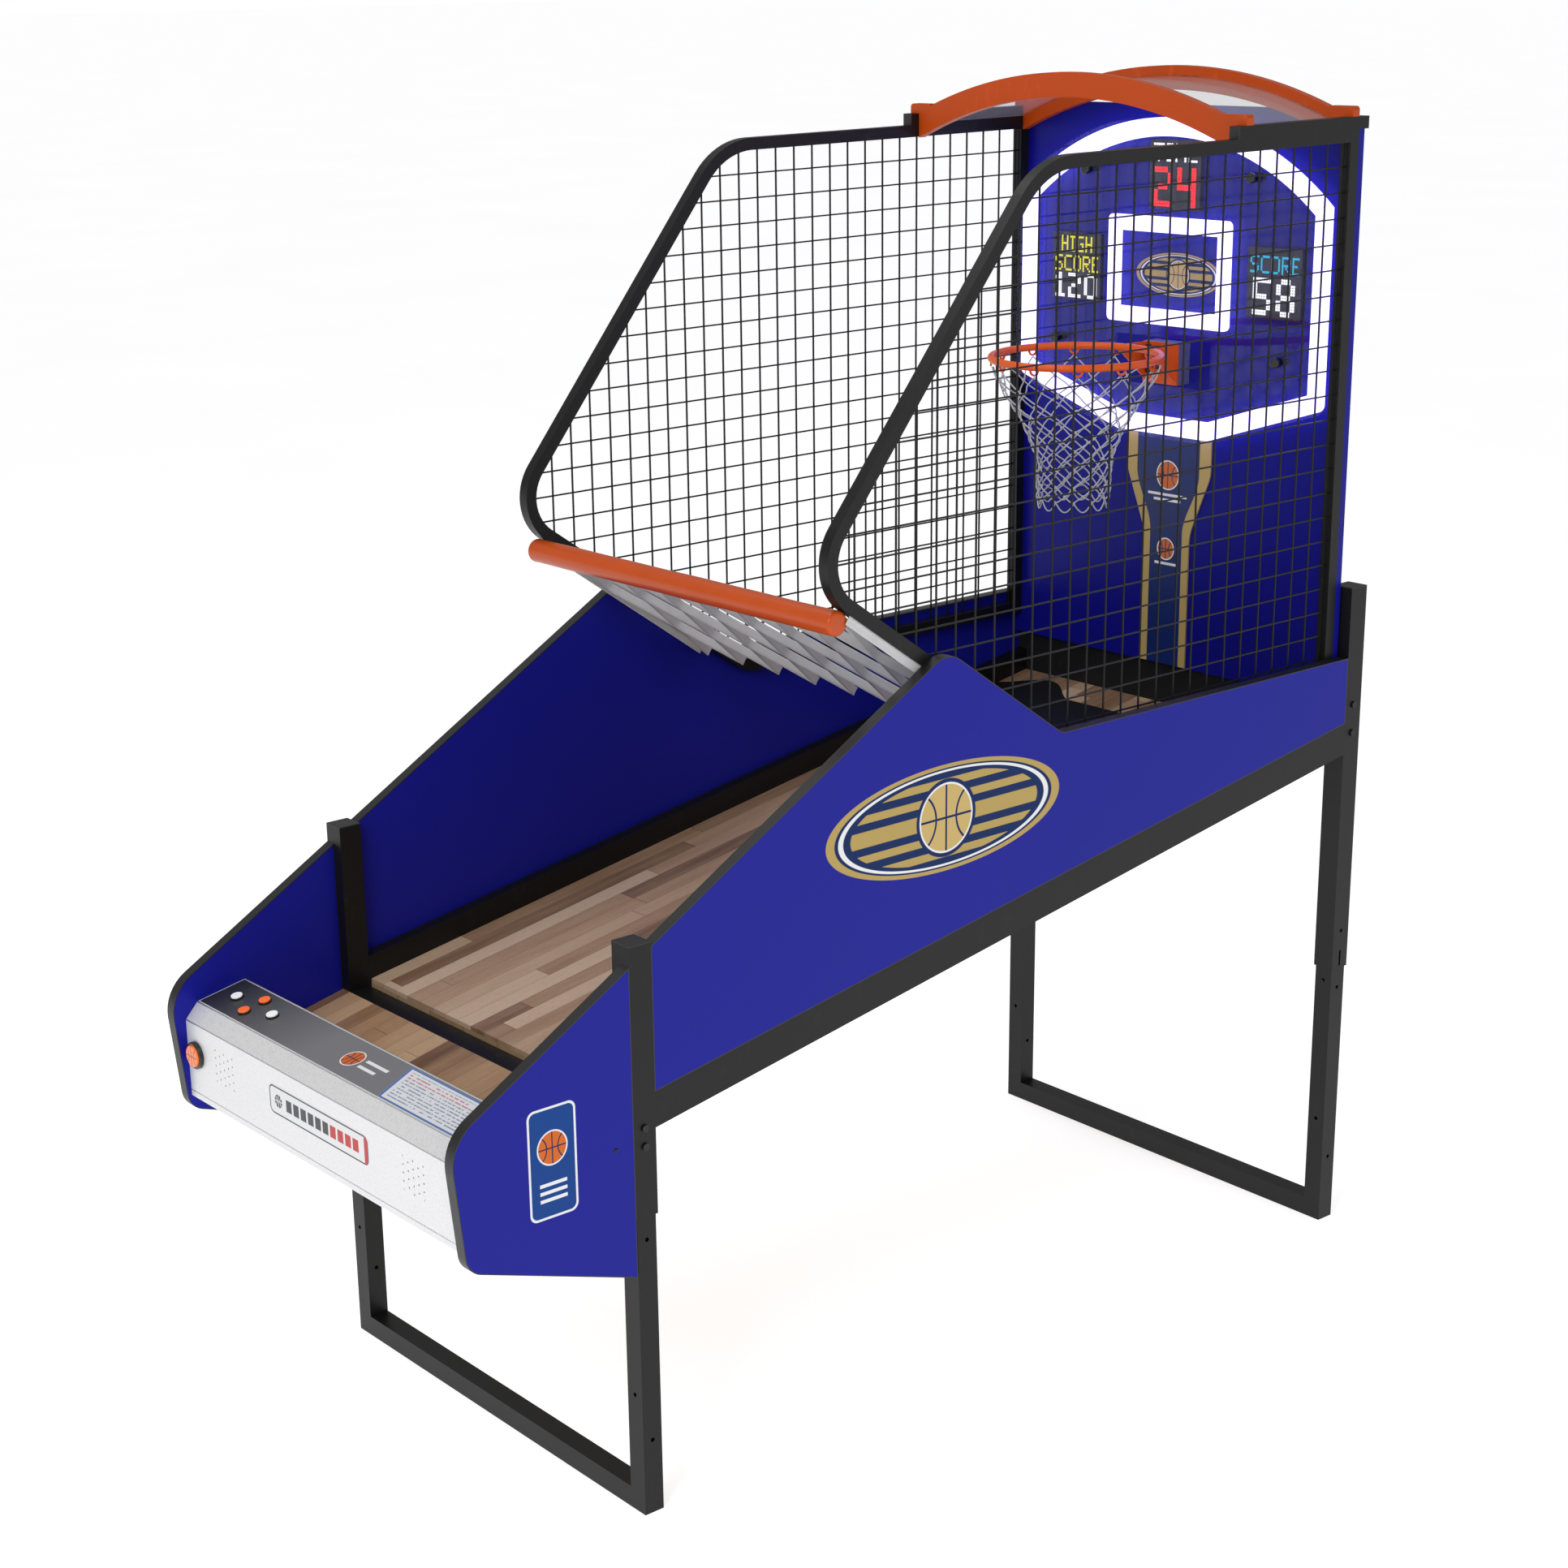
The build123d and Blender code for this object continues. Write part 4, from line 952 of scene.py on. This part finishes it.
@dataclass
class Deflector:
    """The padded bar at the cage's mouth and the webbing net behind it."""

    bar: tuple[float, float] = (0.5086, 1.6573)
    pad_radius: float = 0.0248
    pad_half: float = 0.4784
    half_width: float = 0.4835
    start: float = 0.5345
    end: float = 0.9595
    nose: tuple[float, float] = (0.4266, 1.7459)
    fall: float = math.radians(35.0)
    depth: float = 0.0192
    wall: float = 0.0018
    cells: int = 8
    repeat: float = 0.330

    def pad(self) -> bpy.types.Object:
        """The foam sleeve: a profile turned round the bar, with rolled ends and a faint lengthways swell."""
        end = np.linspace(0, math.pi / 2, 7)
        corner = 0.008
        reach, outer = self.pad_half - corner, self.pad_radius - corner
        right = np.stack([reach + corner * np.sin(end), outer + corner * np.cos(end)], 1)
        body = np.linspace(-reach, reach, 120)[1:-1]
        swell = self.pad_radius - 0.0004 + 0.0004 * np.sin(body * 23.0) * np.cos(body * 9.0)
        face = np.array([[self.pad_half + 0.0006, 0.010], [self.pad_half + 0.0008, 0.002]])
        flip = np.array([-1.0, 1.0])
        profile = np.concatenate([(face * flip)[::-1], right[::-1] * flip, np.stack([body, swell], 1), right, face])
        sides = 48
        points, faces = revolved(profile, (0.0, *self.bar), "x", sides)
        faces = faces[:-sides]
        ends = [list(range(sides))[::-1], list(len(points) - sides + np.arange(sides))]
        piece = build("deflector_sleeve", points, [*faces.tolist(), *ends], Finish.PAD)
        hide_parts("deflector_pad")
        return piece

    def _ribbons(self) -> np.ndarray:
        """The ribbons' middle lines: each zigzags along the slope, against its neighbours, so that they touch
        where they are sewn, which is also where they end; the two outer ones run straight under the tubes.
        The zigzag is the angle whose sine is a cosine, which is straight between softly rounded corners."""
        count = 2 * self.cells
        pitch = 2 * self.half_width / count
        s = np.linspace(0.0, (self.end - self.start) / math.cos(self.fall), 181)
        turn = (s[-1] - s)[None] / self.repeat * math.tau + math.pi * np.arange(count + 1)[:, None]
        swing = np.arcsin(0.985 * np.cos(turn)) / math.asin(0.985) * (pitch / 2 - self.wall * 0.5)
        swing[0] = swing[-1] = 0.0
        x = -self.half_width + pitch * np.arange(count + 1)[:, None] + swing
        x[0], x[-1] = -self.half_width + self.wall, self.half_width - self.wall
        y = self.start + s * math.cos(self.fall)
        z = self.nose[1] - math.tan(self.fall) * (y - self.nose[0])
        return np.stack([x, np.broadcast_to(y, x.shape), np.broadcast_to(z, x.shape)], -1)

    def net(self) -> bpy.types.Object:
        """The net: flat webbing standing on edge, each ribbon a thin band square to the slope."""
        lines = self._ribbons()
        down = np.array([0.0, -math.sin(self.fall), -math.cos(self.fall)])
        step = np.gradient(lines, axis=1)
        step /= np.linalg.norm(step, axis=2, keepdims=True)
        side = np.cross(step, down)
        side /= np.linalg.norm(side, axis=2, keepdims=True)
        top, low, half = 0.0006, self.depth, self.wall / 2
        levels = np.linspace(top, low, 5)
        bow = 0.0010 * np.sin(math.pi * (levels - top) / (low - top))
        front = lines[:, :, None] + down * levels[:, None] + side[:, :, None] * (half + bow)[:, None]
        back = lines[:, :, None] + down * levels[::-1, None] + side[:, :, None] * (bow[::-1] - half)[:, None]
        loop = np.concatenate([front, back], 2)
        count, length, ring = loop.shape[:3]
        quads = grid_faces(length, ring, True)
        caps = np.array([np.arange(ring)[::-1], (length - 1) * ring + np.arange(ring)])
        faces = [face for kind in (quads, caps) for face in repeated(kind, count, length * ring).tolist()]
        piece = build("deflector_webbing", loop.reshape(-1, 3), faces, Finish.WEBBING)
        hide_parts("deflector_net")
        return piece


GLYPHS = {
    "T": ("11111", "00100", "00100", "00100", "00100", "00100", "00100"),
    "I": ("111", "010", "010", "010", "010", "010", "111"),
    "M": ("10001", "11011", "10101", "10101", "10001", "10001", "10001"),
    "E": ("1111", "1000", "1000", "1110", "1000", "1000", "1111"),
    "H": ("1001", "1001", "1001", "1111", "1001", "1001", "1001"),
    "G": ("0111", "1000", "1000", "1011", "1001", "1001", "0111"),
    "S": ("01111", "10000", "10000", "01110", "00001", "00001", "11110"),
    "C": ("01111", "10000", "10000", "10000", "10000", "10000", "01111"),
    "O": ("01110", "10001", "10001", "10001", "10001", "10001", "01110"),
    "R": ("11110", "10001", "10001", "11110", "10100", "10010", "10001"),
    "0": ("0110", "1001", "1001", "1001", "1001", "1001", "0110"),
    "1": ("010", "110", "010", "010", "010", "010", "111"),
    "2": ("1110", "0001", "0001", "0110", "1000", "1000", "1111"),
    "4": ("1001", "1001", "1001", "1111", "0001", "0001", "0001"),
    "5": ("1111", "1000", "1000", "1110", "0001", "0001", "1110"),
    "8": ("0110", "1001", "1001", "0110", "1001", "1001", "0110"),
}


@dataclass
class DotWriting:
    """A line of dot-matrix characters: small domed lamps on a grid, standing just proud of a display."""

    name: str
    text: str
    finish: Finish
    middle: tuple[float, float]
    width: float
    height: float
    face: float = 1.9298
    thick: int = 1

    def _lamps(self) -> np.ndarray:
        """The lit dots' places as (column, row) pairs, thickened by repeating each dot."""
        rows = ["0".join(GLYPHS[c][r] for c in self.text) for r in range(7)]
        picture = np.array([[int(v) for v in row] for row in rows])
        picture = np.kron(picture, np.ones((self.thick, self.thick), int))
        lit = np.argwhere(picture)
        self._shape = picture.shape
        return lit[:, ::-1].astype(float)

    def build(self) -> bpy.types.Object:
        """Makes the lit line: a six-sided dome of two rings and a tip for each dot."""
        lit = self._lamps()
        rows, columns = self._shape
        step = np.array([self.width / columns, self.height / rows])
        centre = (lit + 0.5) * step - np.array([self.width, self.height]) / 2
        turn = np.arange(8) * math.tau / 8
        radius = 0.54 * step.min()
        squash = step / step.min()
        ring = np.stack([np.cos(turn) * squash[0], np.zeros(8), np.sin(turn) * squash[1]], 1)
        dome = np.concatenate([ring * radius, ring * radius * 0.7 - [0, 0.0009, 0], [[0, -0.0012, 0]]])
        place = np.stack([self.middle[0] + centre[:, 0], np.full(len(lit), self.face),
                          self.middle[1] - centre[:, 1]], 1)
        points = place[:, None] + dome[None]
        i = np.arange(8)
        j = (i + 1) % 8
        quads = np.stack([i, j, j + 8, i + 8], 1)
        tips = np.stack([i + 8, j + 8, np.full(8, 16)], 1)
        kinds = (quads, tips, i[None, ::-1])
        faces = [face for kind in kinds for face in repeated(kind, len(lit), len(dome)).tolist()]
        return build(self.name, points, faces, self.finish)


@dataclass
class Displays:
    """The three counters behind the backboard, each a word over a number."""

    def build(self) -> list[bpy.types.Object]:
        """Makes every lit line."""
        lines = (
            DotWriting("time_word", "TIME", Finish.DOT_WHITE, (0.0, 2.404), 0.128, 0.040),
            DotWriting("time_digits", "24", Finish.DOT_RED, (0.0, 2.330), 0.124, 0.086, thick=2),
            DotWriting("high_word", "HIGH", Finish.DOT_YELLOW, (-0.290, 2.190), 0.096, 0.036),
            DotWriting("high_score_word", "SCORE", Finish.DOT_YELLOW, (-0.290, 2.146), 0.134, 0.036),
            DotWriting("high_score_digits", "120", Finish.DOT_WHITE, (-0.290, 2.096), 0.130, 0.056, thick=2),
            DotWriting("score_word", "SCORE", Finish.DOT_CYAN, (0.290, 2.180), 0.134, 0.038),
            DotWriting("score_digits", "58", Finish.DOT_WHITE, (0.290, 2.112), 0.116, 0.080, thick=2),
        )
        return [line.build() for line in lines]


@dataclass
class ConsoleDetails:
    """What the console's sheet carries: the front plate, and the bright rolled edges."""

    front: float = -0.3960
    half: float = 0.4857

    def plate(self) -> bpy.types.Object:
        """The printed plate: a thin slab with rounded corners, its outline a rectangle whose corners are arcs."""
        corner, thick = PLATE_CORNER, 0.0006
        inner = np.array(PLATE_HALF) - corner
        turn = np.linspace(0, math.pi / 2, 8)
        arcs = [np.stack([sx * inner[0] + corner * np.cos(turn + k * math.pi / 2),
                          sz * inner[1] + corner * np.sin(turn + k * math.pi / 2)], 1)
                for k, (sx, sz) in enumerate(((1, 1), (-1, 1), (-1, -1), (1, -1)))]
        across, up = np.concatenate(arcs).T + np.array(PLATE_CENTRE)[:, None]
        count = len(across)
        rings = [np.stack([across, np.full(count, y), up], 1) for y in (self.front - thick, self.front)]
        i = np.arange(count)
        j = (i + 1) % count
        faces = [list(i), *np.stack([i, i + count, j + count, j], 1).tolist(), list(i[::-1] + count)]
        return build("front_plate", np.concatenate(rings), faces, Finish.PLATE, smooth=False)

    def screws(self) -> bpy.types.Object:
        """The pan-head screw through each fin into its bracket: a low dome with a cross slot's hollow."""
        profile = np.array([[0.0, 0.0045], [0.0012, 0.0044], [0.0020, 0.0034], [0.0023, 0.0020], [0.0016, 0.0012],
                            [0.0013, 0.0003]])
        sides = 16
        points, faces = [], []
        for way in (1, -1):
            ring, quads = revolved(profile * [way, 1.0], (way * 0.5110, -0.0675, 0.7758), "x", sides)
            quads = quads[:-sides] if way > 0 else quads[:-sides, ::-1]
            tip = len(ring) - sides + np.arange(sides)
            faces += [f.tolist() for f in quads + len(points) * len(ring)]
            faces.append(list((tip if way > 0 else tip[::-1]) + len(points) * len(ring)))
            points.append(ring)
        return build("fin_screws", np.concatenate(points), faces, Finish.BLACK_BOLT)

    def edges(self) -> list[bpy.types.Object]:
        """The rolled beads along the console's bends: thin round bars the console's whole width."""
        spots = (("bead_top_back", -0.2549, 0.8802), ("bead_top_front", -0.3667, 0.8594),
                 ("bead_chamfer", -0.3953, 0.8278), ("bead_foot", -0.3953, 0.6768))
        made = []
        for name, y, z in spots:
            x = np.linspace(-self.half, self.half, 24)
            path = np.stack([x, np.full_like(x, y), np.full_like(x, z)], 1)[None]
            points, faces = tubes(path, 0.0013, 8)
            caps = [list(range(7, -1, -1)), list(len(points) - 8 + np.arange(8))]
            made.append(build(name, points, [*faces.tolist(), *caps], Finish.SATIN))
        return made


# ---- studio ------------------------------------------------------------------------------


@dataclass
class Studio:
    """The floor, the lights and the camera."""

    focal: float = 3428.0
    image: float = 1932.0
    azimuth: float = 52.264
    elevation: float = 18.024
    roll: float = -1.493
    eye: Point = (4.2492, -2.8452, 2.8410)
    shift: tuple[float, float] = (0.08, 0.05)
    sky: float = 0.36

    def floor(self) -> None:
        """A pale floor that fades away beyond the lights."""
        half = 400.0
        points = [(x * half, y * half, -0.0005) for x, y in ((-1, -1), (1, -1), (1, 1), (-1, 1))]
        mesh = bpy.data.meshes.new("studio_floor")
        mesh.from_pydata(points, [], [[0, 1, 2, 3]])
        floor = bpy.data.objects.new("studio_floor", mesh)
        bpy.context.scene.collection.objects.link(floor)
        net = Net("studio_paper")
        cloud = net.noise(0.6, 2.0)
        paper = net.tint((0.86, 0.86, 0.87), cloud, 0.02)
        mesh.materials.append(net.surface(Base_Color=paper, Roughness=0.9, Emission_Color=paper,
                                          Emission_Strength=0.78))

    def lights(self) -> None:
        """An even sky that is dimmer as light than as a backdrop, a large key from the front, and two fills."""
        world = bpy.data.worlds.new("studio_sky")
        world.use_nodes = True
        nodes, links = world.node_tree.nodes, world.node_tree.links
        seen = nodes.new("ShaderNodeLightPath").outputs["Is Camera Ray"]
        share = nodes.new("ShaderNodeMapRange")
        share.inputs["To Min"].default_value, share.inputs["To Max"].default_value = self.sky, 1.0
        links.new(seen, share.inputs["Value"])
        nodes["Background"].inputs["Color"].default_value = (1.0, 1.0, 1.0, 1.0)
        links.new(share.outputs["Result"], nodes["Background"].inputs["Strength"])
        bpy.context.scene.world = world
        for name, place, target, power, size in (("key", (2.2, -3.8, 4.4), (0, 0.9, 1.2), 110.0, 2.2),
                                                 ("fill", (5.0, 2.0, 3.2), (0, 1.0, 1.2), 30.0, 2.6),
                                                 ("top", (-1.0, 0.4, 5.4), (0, 1.0, 1.0), 60.0, 2.6)):
            lamp = bpy.data.lights.new(name, "AREA")
            lamp.energy, lamp.size = power, size
            holder = bpy.data.objects.new(name, lamp)
            bpy.context.scene.collection.objects.link(holder)
            holder.location = place
            holder.rotation_euler = (Vector(target) - Vector(place)).to_track_quat("-Z", "Y").to_euler()

    def camera(self) -> None:
        """The camera: looking along its azimuth and elevation from its place, with a small roll."""
        data = bpy.data.cameras.new("studio_camera")
        data.sensor_width = 36.0
        data.lens = self.focal / self.image * 36.0
        data.shift_x, data.shift_y = self.shift
        data.clip_end = 200.0
        holder = bpy.data.objects.new("studio_camera", data)
        bpy.context.scene.collection.objects.link(holder)
        a, e = math.radians(self.azimuth), math.radians(self.elevation)
        back = Vector((math.sin(a) * math.cos(e), -math.cos(a) * math.cos(e), math.sin(e)))
        turn = (-back).to_track_quat("-Z", "Y").to_matrix() @ Matrix.Rotation(math.radians(self.roll), 3, "Z")
        holder.matrix_world = Matrix.Translation(self.eye) @ turn.to_4x4()
        bpy.context.scene.camera = holder

    def set_up(self) -> None:
        """Builds the studio."""
        bpy.context.scene.view_settings.view_transform = "Standard"
        self.floor()
        self.lights()
        self.camera()


def report(pieces: Iterable[bpy.types.Object]) -> None:
    """Logs each piece's name and face count."""
    for piece in pieces:
        log.info("%-28s %7d faces", piece.name, len(piece.data.polygons))


def main() -> None:
    """Loads the frame, dresses it, builds the soft and lit pieces, and sets up the studio."""
    logging.basicConfig(level=logging.INFO, format="%(message)s")
    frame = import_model()
    report(CarriedNodes().dress(frame["nodes"]))
    report([HoopNet().build()])
    deflector = Deflector()
    report([deflector.pad(), deflector.net()])
    report(Displays().build())
    details = ConsoleDetails()
    report([details.plate(), details.screws(), *details.edges()])
    Studio().set_up()


if __name__ == "__main__":
    main()
